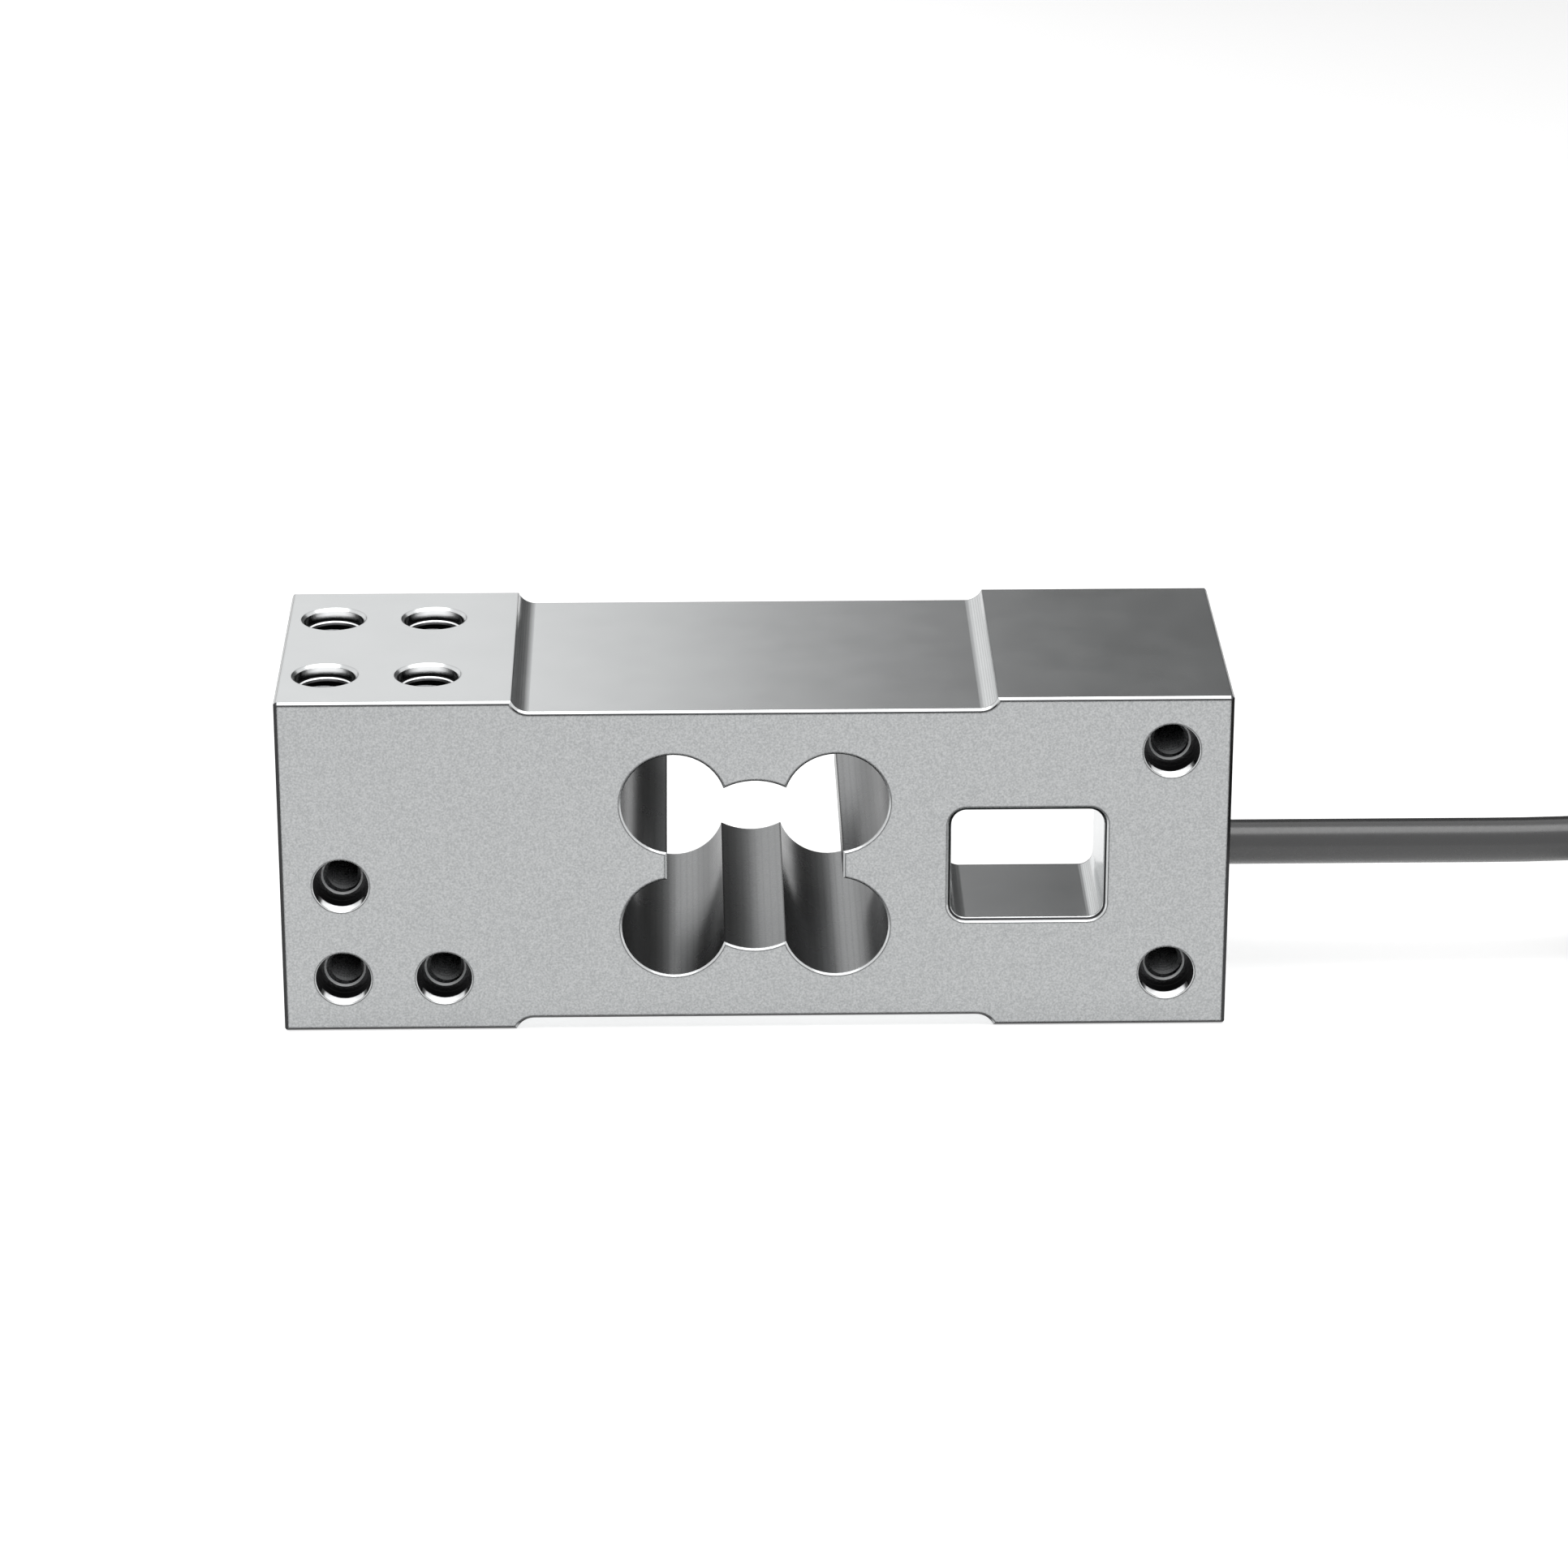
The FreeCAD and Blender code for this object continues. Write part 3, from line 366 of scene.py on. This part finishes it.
def plastic(name, color, roughness, mottle=0.12, grain_mm=0.5, depth_mm=0.004, **sockets):
    """A moulded or extruded plastic with a slight unevenness in colour, gloss and surface."""
    f = Finish(name, color, roughness, **sockets)
    grain = f.noise(grain_mm, 3.0)
    cloud = f.noise(grain_mm * 14)
    low, high = [c * (1 - mottle) for c in color], [min(1, c * (1 + mottle)) for c in color]
    f.link(f.mix_noise(cloud, low, high), "Base Color")
    f.link(f.on_noise(grain, roughness * 0.85, roughness * 1.15), "Roughness")
    f.link(f.bump(grain, depth_mm, 0.6), "Normal")
    return f.material


def solder_metal(name, color, roughness):
    """Tin or solder, a little uneven."""
    f = Finish(name, color, roughness, 1.0)
    grain = f.noise(0.35, 3.0)
    f.link(f.on_noise(grain, roughness * 0.7, roughness * 1.6), "Roughness")
    f.link(f.mix_noise(grain, [c * 0.85 for c in color], color), "Base Color")
    f.link(f.bump(grain, 0.02, 0.5), "Normal")
    return f.material


FINISHES = {
    "body_metal": body_metal(),
    "thread_metal": thread_metal(),
    "jacket": plastic(
        "jacket", (0.012, 0.012, 0.013), 0.3, 0.2, 0.8, IOR=1.6, Coat_Weight=0.7, Coat_Roughness=0.22
    ),
    "potting": plastic("potting", (0.02, 0.02, 0.022), 0.3, 0.2, 1.0, 0.02),
    "heat_shrink": plastic("heat_shrink", (0.02, 0.02, 0.022), 0.42, 0.2, 0.7, 0.02),
    "strap": plastic("strap", (0.03, 0.03, 0.032), 0.85, 0.3, 0.4, 0.08),
    "sealant": plastic("sealant", (0.80, 0.80, 0.77), 0.5, 0.03, 1.5, 0.08),
    "adhesive": plastic("adhesive", (0.78, 0.74, 0.62), 0.6, 0.05, 0.6, 0.02),
    "circuit_board": plastic("circuit_board", (0.02, 0.20, 0.08), 0.3, 0.25, 0.6, 0.01),
    "resistor": plastic("resistor", (0.04, 0.04, 0.045), 0.45, 0.2, 0.3, 0.01),
    "terminal_board": plastic("terminal_board", (0.50, 0.42, 0.20), 0.4, 0.15, 0.4, 0.01),
    "gauge_foil": plastic("gauge_foil", (0.62, 0.36, 0.10), 0.35, 0.1, 0.4, 0.004),
    "wire_red": plastic("wire_red", (0.62, 0.03, 0.02), 0.35),
    "wire_black": plastic("wire_black", (0.02, 0.02, 0.02), 0.35),
    "wire_green": plastic("wire_green", (0.02, 0.34, 0.10), 0.35),
    "wire_white": plastic("wire_white", (0.80, 0.80, 0.78), 0.35, 0.03),
    "wire_yellow": plastic("wire_yellow", (0.75, 0.56, 0.04), 0.35),
    "solder": solder_metal("solder", (0.72, 0.73, 0.74), 0.25),
    "tinned_copper": solder_metal("tinned_copper", (0.70, 0.70, 0.70), 0.32),
}

for part in frame["record"]["subparts"]:
    mesh = nodes[part["node"]].data
    mesh.materials.clear()
    mesh.materials.append(FINISHES[part["material_slot"]])


# ---- pieces: helpers ----------------------------------------------------------------------------
def place_piece(piece, finish):
    """Puts a piece into the scene, on the one body, with its finish."""
    if not piece.users_collection:
        bpy.context.scene.collection.objects.link(piece)
    piece.data.materials.append(FINISHES[finish])
    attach(piece, "root")
    return piece


def mesh_piece(name, vertices, faces, finish, smooth=True):
    mesh = bpy.data.meshes.new(name)
    mesh.from_pydata([tuple(v) for v in vertices], [], faces)
    mesh.validate()
    mesh.polygons.foreach_set("use_smooth", [smooth] * len(mesh.polygons))
    mesh.update()
    return place_piece(bpy.data.objects.new(name, mesh), finish)


def skin(rings, size):
    """The faces of a closed skin over rings of this many vertices, with a cap on each end."""
    faces = []
    for i in range(rings - 1):
        for j in range(size):
            k = (j + 1) % size
            faces.append((i * size + j, (i + 1) * size + j, (i + 1) * size + k, i * size + k))
    last = (rings - 1) * size
    faces.append(tuple(range(size)))
    faces.append(tuple(last + j for j in reversed(range(size))))
    return faces


# ---- threads ------------------------------------------------------------------------------------
STEPS_PER_TURN = 40
THREAD_DEPTH_SHARE = 0.5413  # of the pitch, on a metric internal thread
RIDGE_IN_WALL = 0.06  # the ridge's root lies this far inside the hole's wall
RIDGE_START, RIDGE_END_GAP, FADE_TURNS = -0.15, 0.6, 0.5  # in pitches, pitches and turns
LEAST_RIDGE = 0.05  # share of the ridge's height that stays at its two ends
ROOT_LOW, CREST_LOW, CREST_HIGH, ROOT_HIGH = 0.03, 0.44, 0.56, 0.97  # the profile's corners, in pitches


def helical_ridge(name, mouth, inward, across, diameter, depth):
    """The ridge of a metric internal thread, as one closed winding from the hole's seat down to its end."""
    pitch = THREAD_PITCH[diameter]
    root = diameter / 2 + RIDGE_IN_WALL
    crest = diameter / 2 - THREAD_DEPTH_SHARE * pitch
    start = THREAD_BREAK[diameter] + RIDGE_START * pitch
    rows = int(((depth - start) / pitch - RIDGE_END_GAP) * STEPS_PER_TURN)
    sideways = inward.cross(across)
    vertices, faces = [], []
    for k in range(rows + 1):
        turn = k / STEPS_PER_TURN
        angle = 2 * math.pi * turn
        out = across * math.cos(angle) + sideways * math.sin(angle)
        fade = min(1.0, turn / FADE_TURNS, (rows / STEPS_PER_TURN - turn) / FADE_TURNS)
        peak = root - (root - crest) * max(LEAST_RIDGE, fade)
        low = start + turn * pitch
        profile = ((root, ROOT_LOW), (peak, CREST_LOW), (peak, CREST_HIGH), (root, ROOT_HIGH))
        for radius, share in profile:
            vertices.append((mouth + out * radius + inward * (low + share * pitch)) * MM)
        if k:
            a, b = (k - 1) * 4, k * 4
            for j in range(4):
                i = (j + 1) % 4
                faces.append((a + j, a + i, b + i, b + j))
    faces.append((0, 3, 2, 1))
    faces.append(tuple(range(rows * 4, rows * 4 + 4)))
    mesh_piece(name, vertices, faces, "thread_metal", smooth=False)


for number, (x, z) in enumerate(SIDE_HOLES, 1):
    seat = Vector((x, lowest.y + SIDE_SEAT_DEPTH, z))
    depth = SIDE_HOLE_DEPTH - SIDE_SEAT_DEPTH
    helical_ridge(f"side_thread_{number}", seat, Y_AXIS, X_AXIS, SIDE_THREAD, depth)
for number, (x, y) in enumerate(TOP_HOLES, 1):
    seat = Vector((x, y, highest.z - TOP_SEAT_DEPTH))
    depth = TOP_HOLE_DEPTH - TOP_SEAT_DEPTH
    helical_ridge(f"top_thread_{number}", seat, -Z_AXIS, X_AXIS, TOP_THREAD, depth)


# ---- cable and hank -----------------------------------------------------------------------------
# ---- A cord's points are chosen one by one. They are control points, so the cord runs inside their corners.
ROUTE = [
    (61.5, 0, CABLE_Z),
    (100, 0, CABLE_Z),
    (139.5, 0.8, 20.6),
    (172, INNER_WAIST, LAYERS[2]),
    (HANK_X, INNER_WAIST, LAYERS[2]),
]
TAIL = [(HANK_X, -OUTER_WAIST, TAIL_Z), (HANK_X - TAIL_LENGTH, -OUTER_WAIST, TAIL_Z)]
FOLD_POINTS, FOLD_FROM, FOLD_STEP = 6, 106.5, 42.6  # control points round a fold, and their degrees
CONTROL_REACH = 1.073  # how much further out they lie than the cord that they shape
CLIMB_POINTS = 1.5  # how many of them it takes to change layers
PINCH_HALF_ANGLE = 18.9  # degrees
FOLD_SAG = 1.25  # the cables lie this much lower at the folds than on the strap
WAIST_END = 10.6  # from the hank's middle to the end of the straight part
RISE_Y, RISE_Z, LIFT = 1.5, 1.5, 0.5  # the bend where the outer turns climb a layer


def fold(end, radius, z_from, z_to, start_side):
    """Six points round an end of the hank. end is 1 at the far end; start_side is the side it starts on."""
    points = []
    for k in range(FOLD_POINTS):
        angle = math.radians(FOLD_FROM - k * FOLD_STEP)
        reach = CONTROL_REACH * radius
        sag = FOLD_SAG * (0.5 if k in (0, FOLD_POINTS - 1) else 1.0)
        points.append((
            HANK_X + end * (FOLD_SPACING / 2 + reach * math.cos(angle)),
            start_side * reach * math.sin(angle),
            z_from + (z_to - z_from) * min(1.0, k / CLIMB_POINTS) - sag,
        ))
    return points


def waist(side, towards, width, pinch, z):
    """Two points through the waist. towards is 1 where the cable runs to the far end."""
    reach = pinch * math.tan(math.radians(PINCH_HALF_ANGLE))
    return [
        (HANK_X - towards * reach, side * width, z),
        (HANK_X + towards * reach, side * width, z),
    ]


def outer_round(z):
    """Points of an outer turn: round the near fold, through the waist and round the far fold."""
    points = fold(-1, OUTER_FOLD, z, z, -1)
    points += waist(1, 1, OUTER_WAIST, OUTER_PINCH, z)
    points += fold(1, OUTER_FOLD, z, z, 1)
    points[-1] = points[-1][:2] + (z + LIFT,)
    return points


def hank_route():
    """The cable's points from its place on top of the hank, through all its turns, to the tail."""
    bottom, middle, top = LAYERS
    points = [(HANK_X + WAIST_END, INNER_WAIST, top)]
    level = top
    for below in (middle, bottom):
        points += fold(1, INNER_FOLD, level, level, 1)
        points += waist(-1, -1, INNER_WAIST, INNER_PINCH, level)
        points += fold(-1, INNER_FOLD, level, below, -1)
        points += waist(1, 1, INNER_WAIST, INNER_PINCH, below)
        level = below
    points += fold(1, INNER_FOLD, bottom, bottom, 1)
    points += [
        (HANK_X + WAIST_END, -INNER_WAIST, bottom),
        (HANK_X - 2, -INNER_WAIST - 1, bottom),
        (HANK_X - 10, -INNER_WAIST - 6.5, bottom),
    ]
    points += outer_round(bottom)
    points += [
        (HANK_X + 15, -OUTER_WAIST - RISE_Y, middle - RISE_Z),
        (HANK_X + 4, -OUTER_WAIST, middle),
        (HANK_X - 8.1, -OUTER_WAIST, middle),
    ]
    points += outer_round(middle)
    points += [
        (HANK_X + 15, -OUTER_WAIST - RISE_Y, TAIL_Z - RISE_Z),
        (HANK_X + 6, -OUTER_WAIST, TAIL_Z),
    ]
    return points


def nurbs_piece(name, points_mm, diameter_mm, finish):
    """A round cord along a smooth line with these control points."""
    curve = bpy.data.curves.new(name, "CURVE")
    curve.dimensions = "3D"
    curve.resolution_u = 6
    curve.bevel_depth = diameter_mm / 2 * MM
    curve.bevel_resolution = 5
    curve.use_fill_caps = True
    spline = curve.splines.new("NURBS")
    spline.points.add(len(points_mm) - 1)
    for point, (x, y, z) in zip(spline.points, points_mm):
        point.co = (x * MM, y * MM, z * MM, 1)
    spline.order_u = 3
    spline.use_endpoint_u = True
    return place_piece(bpy.data.objects.new(name, curve), finish)


cord = nurbs_piece("signal_cable", ROUTE + hank_route() + TAIL, CABLE_DIAMETER, "jacket")
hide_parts("cable", "cable_tail", "cable_hank")


# ---- the strap round the hank -------------------------------------------------------------------
STRAP_STEP = 0.45  # between samples round the strap
STRAP_COLUMNS = 24  # across it
LAP_RAMP = 4.5  # length over which the lap climbs on the first layer
EDGE_GAP = 0.05  # the band's edges stay this far inside the strap's solid
WEAVE_ROOM, RIB_HEIGHT, SELVEDGE_HEIGHT = 0.16, 0.07, 0.10
SELVEDGE_FROM, SELVEDGE_TO, FLAT_FROM = 0.8, 0.97, 0.98  # shares of the half width
EDGE_ROUNDING, EDGE_POWER = 0.55, 10
END_HEIGHT, END_STEP = 0.5, 0.4  # share of the height at the band's ends, and its gain per row


def eased(t):
    return t * t * (3 - 2 * t)


def strap_circuit(inner):
    """Samples once round the waist's cables: the centre or line that each lies beside, and its direction."""
    centres = [Vector(c) for c in STRAP_CENTRES]
    line = []
    for k, corner in enumerate(centres):
        following = centres[(k + 1) % len(centres)]
        before, after = (corner - centres[k - 1]).normalized(), (following - corner).normalized()
        start, end = math.atan2(-before.x, before.y), math.atan2(-after.x, after.y)
        turn = (end - start) % (2 * math.pi)
        arc = turn * inner
        for j in range(max(2, int(arc / STRAP_STEP))):
            angle = start + turn * j * STRAP_STEP / arc if j * STRAP_STEP < arc else end
            line.append((corner, Vector((math.cos(angle), math.sin(angle)))))
        out = Vector((after.y, -after.x))
        for j in range(int((following - corner).length / STRAP_STEP)):
            line.append((corner + after * j * STRAP_STEP, out))
    return line


def strap_line():
    """The strap's middle line, from the lap's start, once round and over the lap, with its outward side."""
    inner = CABLE_DIAMETER / 2 + STRAP_SLACK + STRAP_THICKNESS / 2
    line = strap_circuit(inner)
    top = [i for i, (at, out) in enumerate(line) if out.y > 0.99 and at.x < STRAP_LAP_FROM]
    first = top[0]
    lap = sum(1 for i in top if line[i][0].x > STRAP_LAP_TO)
    ordered = line[first:] + line[:first] + line[first : first + lap]
    ramp = int(LAP_RAMP / STRAP_STEP)
    samples = []
    for i, (at, out) in enumerate(ordered):
        rise = eased(min(1.0, max(0.0, (i - (len(line) - ramp)) / ramp)))
        samples.append((at + out * (inner + STRAP_THICKNESS * rise), out))
    return samples


def band_height(share, row, column):
    """Half the band's thickness at this share of its half width, with its rib and selvedge."""
    edge = 1 - EDGE_ROUNDING * abs(share) ** EDGE_POWER
    selvedge = SELVEDGE_HEIGHT if SELVEDGE_FROM < abs(share) < SELVEDGE_TO else 0.0
    rib = RIB_HEIGHT * (1 if (row + column) % 2 else -1)
    height = (STRAP_THICKNESS / 2 - WEAVE_ROOM) * edge
    return height + (rib + selvedge) * (abs(share) < FLAT_FROM)


def hank_strap():
    """A woven hook-and-loop band, with ribs across it and raised selvedges, lapped on top."""
    vertices = []
    samples = strap_line()
    for i, (at, out) in enumerate(samples):
        ends = min(1.0, END_HEIGHT + min(i, len(samples) - 1 - i) * END_STEP)
        for side in (1, -1):
            for j in range(STRAP_COLUMNS + 1):
                column = j if side == 1 else STRAP_COLUMNS - j
                share = column / STRAP_COLUMNS * 2 - 1
                place = at + out * (band_height(share, i, column) * ends * side)
                x = HANK_X + share * (STRAP_WIDTH / 2 - EDGE_GAP)
                vertices.append((x * MM, place.x * MM, place.y * MM))
    faces = skin(len(samples), 2 * (STRAP_COLUMNS + 1))
    piece = mesh_piece("hank_band", vertices, faces, "strap")
    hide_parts("hank_strap")
    return piece


# ---- heat-shrink sleeve, leads and their tips ---------------------------------------------------
LATHE_SIDES = 40


def lathe(name, start, along, profile, finish, lobes=0, depth=0.0, twist=0.0):
    """A closed turned piece along a line, from (distance, radius) pairs, optionally with twisted lobes."""
    side = Vector((-along.y, along.x, 0)).normalized()
    up = along.cross(side)
    vertices = []
    for distance, radius in profile:
        for j in range(LATHE_SIDES):
            angle = 2 * math.pi * j / LATHE_SIDES
            lobe = 1 - depth * (0.5 + 0.5 * math.cos(lobes * (angle - twist * distance)))
            out = (side * math.cos(angle) + up * math.sin(angle)) * (radius * lobe)
            vertices.append((start + along * distance + out) * MM)
    return mesh_piece(name, vertices, skin(len(profile), LATHE_SIDES), finish)


def smoothed(stops, step):
    """(distance, radius) pairs, eased between these stops."""
    pairs = []
    for (a, ra), (b, rb) in zip(stops, stops[1:]):
        count = max(1, round((b - a) / step))
        for k in range(count):
            t = k / count
            pairs.append((a + (b - a) * t, ra + (rb - ra) * eased(t)))
    return pairs + [stops[-1]]


ALONG = -X_AXIS  # the way in which the tail runs
jacket_end = Vector(TAIL[-1])
sleeve_start = jacket_end - ALONG * SLEEVE_OVERLAP
WRINKLE_DEPTH, PROFILE_STEP = 0.035, 0.25
wrinkled = [
    (at, radius + WRINKLE_DEPTH * math.sin(at * 4.1) * math.sin(at * 1.7 + 0.6))
    for at, radius in smoothed(SLEEVE_PROFILE, PROFILE_STEP)
]
sleeve = lathe("shrunk_sleeve", sleeve_start, ALONG, wrinkled, "heat_shrink")
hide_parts("end_sleeve")

LEAD_IN_NECK = 1.5  # the leads start this far inside the sleeve's neck
LEAD_BENDS = (0.2, 0.42, 0.7)  # shares of the lead's length
TIP_OVERLAP, TIP_RADIUS, TIP_STRAND_STEP, TIP_STEPS = 0.4, 0.39, 0.25, 22
TIP_PROFILE = [(0, 0.36), (TIP_OVERLAP, 0.38)]
TIP_PROFILE += [(TIP_OVERLAP + TIP_STRAND_STEP * k, TIP_RADIUS) for k in range(1, TIP_STEPS)]
TIP_PROFILE += [(6.1, 0.34), (6.3, 0.2)]
TIP_STRANDS, STRAND_DEPTH, STRAND_TWIST = 6, 0.16, 1.1


def lead_points(across, up, fan):
    """From the sleeve's neck, down onto the hank, spreading by fan, as in the part's source."""
    side = -Y_AXIS
    neck = jacket_end + ALONG * (SLEEVE_LENGTH - SLEEVE_OVERLAP)
    rest = LAYERS[1] + CABLE_DIAMETER / 2 + LEAD_DIAMETER / 2 + LAYER_GAP
    start = neck + side * across + Z_AXIS * up
    leaving, falling, low = LEAD_BENDS

    def further(share, spread, z):
        place = neck + ALONG * (LEAD_LENGTH * share) + side * spread
        return Vector((place.x, place.y, z))

    return [
        start - ALONG * LEAD_IN_NECK,
        start,
        start + ALONG * (LEAD_LENGTH * leaving),
        further(falling, (across + fan) / 2, rest + 0.5 * (start.z - rest)),
        further(low, fan * 0.85, rest + 0.1),
        further(1.0, fan * 1.1, rest),
    ]


slots = {part["node"]: part["material_slot"] for part in frame["record"]["subparts"]}
on_cord = [hank_strap(), sleeve]
for colour, across, up, fan, diameter in LEADS:
    points = lead_points(across, up, fan)
    lead = nurbs_piece(f"round_lead_{colour}", points, diameter, slots[f"lead_{colour}"])
    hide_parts(f"lead_{colour}")
    direction = (points[-1] - points[-2]).normalized()
    tip = lathe(
        f"twisted_tip_{colour}", points[-1] - direction * TIP_OVERLAP, direction, TIP_PROFILE,
        "tinned_copper", lobes=TIP_STRANDS, depth=STRAND_DEPTH, twist=STRAND_TWIST,
    )
    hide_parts(f"tip_{colour}")
    on_cord += [lead, tip]


# ---- floor, board, lamp, camera -----------------------------------------------------------------
FLOOR_SIZE = 4.0  # metres, from the middle to each side
FLOOR_GLOW = 0.57  # with the light that falls on it, it comes to white
WORLD_PLAIN, WORLD_WHITE = 0.3, 1.0
WHITE_TO = ("Is Camera Ray", "Is Glossy Ray", "Is Transmission Ray")

# The board stands out of the picture, behind its upper edge. It is pale at the left and dark at the right,
# which the block's upper faces mirror: (millimetres, level) stops along x and upwards.
BOARD_Y, BOARD_FOOT, BOARD_TOP, BOARD_HALF = 700, 0.3, 600, 1100
BOARD_ALONG = [
    (-1100, 1.1), (-70, 1.1), (-20, 0.85), (30, 0.48), (70, 0.3), (120, 0.17), (300, 0.1),
    (700, 0.1), (1100, 0.3),
]
BOARD_UP = [(0, 0.8), (600, 1)]
HIGHEST_LEVEL = 3.0


def stage_plane(name, corners):
    """A flat piece of the studio, not of the object. Returns it with its material's nodes."""
    mesh = bpy.data.meshes.new(name)
    mesh.from_pydata(corners, [], [(0, 1, 2, 3)])
    plane = bpy.data.objects.new(name, mesh)
    bpy.context.scene.collection.objects.link(plane)
    material = bpy.data.materials.new(name)
    material.use_nodes = True
    mesh.materials.append(material)
    return plane, material.node_tree


def math_node(tree, operation, a, b):
    return add_node(tree, "ShaderNodeMath", {0: a, 1: b}, operation=operation).outputs[0]


def level_along(tree, place, stops):
    """A brightness along a coordinate, from (millimetres, level) stops. A square root evens out the ramp."""
    first, last = stops[0][0], stops[-1][0]
    share = add_node(
        tree, "ShaderNodeMapRange", {"Value": place, "From Min": first * MM, "From Max": last * MM}
    )
    ramp = add_node(tree, "ShaderNodeValToRGB", {"Fac": share.outputs[0]})
    ramp.color_ramp.interpolation = "EASE"
    elements = ramp.color_ramp.elements
    while len(elements) < len(stops):
        elements.new(0.5)
    for element, (x, level) in zip(elements, stops):
        element.position = (x - first) / (last - first)
        element.color = (*[(level / HIGHEST_LEVEL) ** 0.5] * 3, 1)
    squared = math_node(tree, "MULTIPLY", ramp.outputs[0], ramp.outputs[0])
    return math_node(tree, "MULTIPLY", squared, HIGHEST_LEVEL)


def for_white_rays(tree):
    """1 for the rays that see the studio white."""
    path = add_node(tree, "ShaderNodeLightPath")
    found = path.outputs[WHITE_TO[0]]
    for ray in WHITE_TO[1:]:
        found = math_node(tree, "MAXIMUM", found, path.outputs[ray])
    return found


def studio_floor():
    """A pale matt floor, white to the camera and in the metal, that keeps the object's shadow."""
    a = FLOOR_SIZE
    floor, tree = stage_plane("studio_floor", [(-a, -a, 0), (a, -a, 0), (a, a, 0), (-a, a, 0)])
    shader = tree.nodes["Principled BSDF"]
    shader.inputs["Base Color"].default_value = (0.85, 0.85, 0.85, 1)
    shader.inputs["Roughness"].default_value = 0.9
    shader.inputs["Specular IOR Level"].default_value = 0.0
    shader.inputs["Emission Color"].default_value = (1, 1, 1, 1)
    strength = math_node(tree, "MULTIPLY", for_white_rays(tree), FLOOR_GLOW)
    tree.links.new(strength, shader.inputs["Emission Strength"])


def back_card():
    """The glowing board, hidden from the camera as a lamp is, so that views from behind look past it."""
    left, right, y = -BOARD_HALF, BOARD_HALF, BOARD_Y
    corners = [(left, y, BOARD_FOOT), (right, y, BOARD_FOOT), (right, y, BOARD_TOP), (left, y, BOARD_TOP)]
    board, tree = stage_plane("back_card", [[v * MM for v in corner] for corner in corners])
    board.visible_camera = board.visible_shadow = False
    spot = add_node(tree, "ShaderNodeTexCoord").outputs["Object"]
    place = add_node(tree, "ShaderNodeSeparateXYZ", {0: spot}).outputs
    along = level_along(tree, place["X"], BOARD_ALONG)
    level = math_node(tree, "MULTIPLY", along, level_along(tree, place["Z"], BOARD_UP))
    glow = add_node(tree, "ShaderNodeEmission", {"Strength": level})
    tree.links.new(glow.outputs[0], tree.nodes["Material Output"].inputs["Surface"])


def world():
    made = bpy.data.worlds.new("studio")
    made.use_nodes = True
    tree = made.node_tree
    background = tree.nodes["Background"]
    background.inputs["Color"].default_value = (1, 1, 1, 1)
    level = add_node(
        tree, "ShaderNodeMapRange",
        {"Value": for_white_rays(tree), "To Min": WORLD_PLAIN, "To Max": WORLD_WHITE},
    )
    tree.links.new(level.outputs[0], background.inputs["Strength"])
    bpy.context.scene.world = made


def lamp(name, place, target, width, height, radiance):
    """A softbox, given by how bright its face is."""
    data = bpy.data.lights.new(name, "AREA")
    data.shape = "RECTANGLE"
    data.size, data.size_y = width, height
    data.energy = radiance * math.pi * width * height
    made = bpy.data.objects.new(name, data)
    bpy.context.scene.collection.objects.link(made)
    made.location = place
    aim = Vector(target) - Vector(place)
    made.rotation_euler = aim.to_track_quat("-Z", "Y").to_euler()
    made.visible_camera = False


def camera(target, azimuth, elevation, distance, lens):
    """The camera that was fitted to the block's corners, in metres and degrees."""
    data = bpy.data.cameras.new("camera")
    data.lens = lens
    data.sensor_width = 36
    data.clip_start, data.clip_end = 0.01, 50
    made = bpy.data.objects.new("camera", data)
    bpy.context.scene.collection.objects.link(made)
    a, e = math.radians(azimuth), math.radians(elevation)
    back = Vector((math.sin(a) * math.cos(e), -math.cos(a) * math.cos(e), math.sin(e)))
    made.location = Vector(target) + back * distance
    made.rotation_euler = (math.pi / 2 - e, 0, a)
    bpy.context.scene.camera = made


studio_floor()
back_card()
world()
lamp(
    "softbox_overhead",
    place=(0.0, -0.1, 0.75),
    target=(0.0, 0.0, 0.0),
    width=1.0,
    height=0.5,
    radiance=2.3,
)
camera(
    target=(0.00506, 0.0, 0.03173),
    azimuth=-1.133,
    elevation=22.113,
    distance=0.8825,
    lens=125.28,
)
bpy.context.scene.view_settings.view_transform = "Standard"
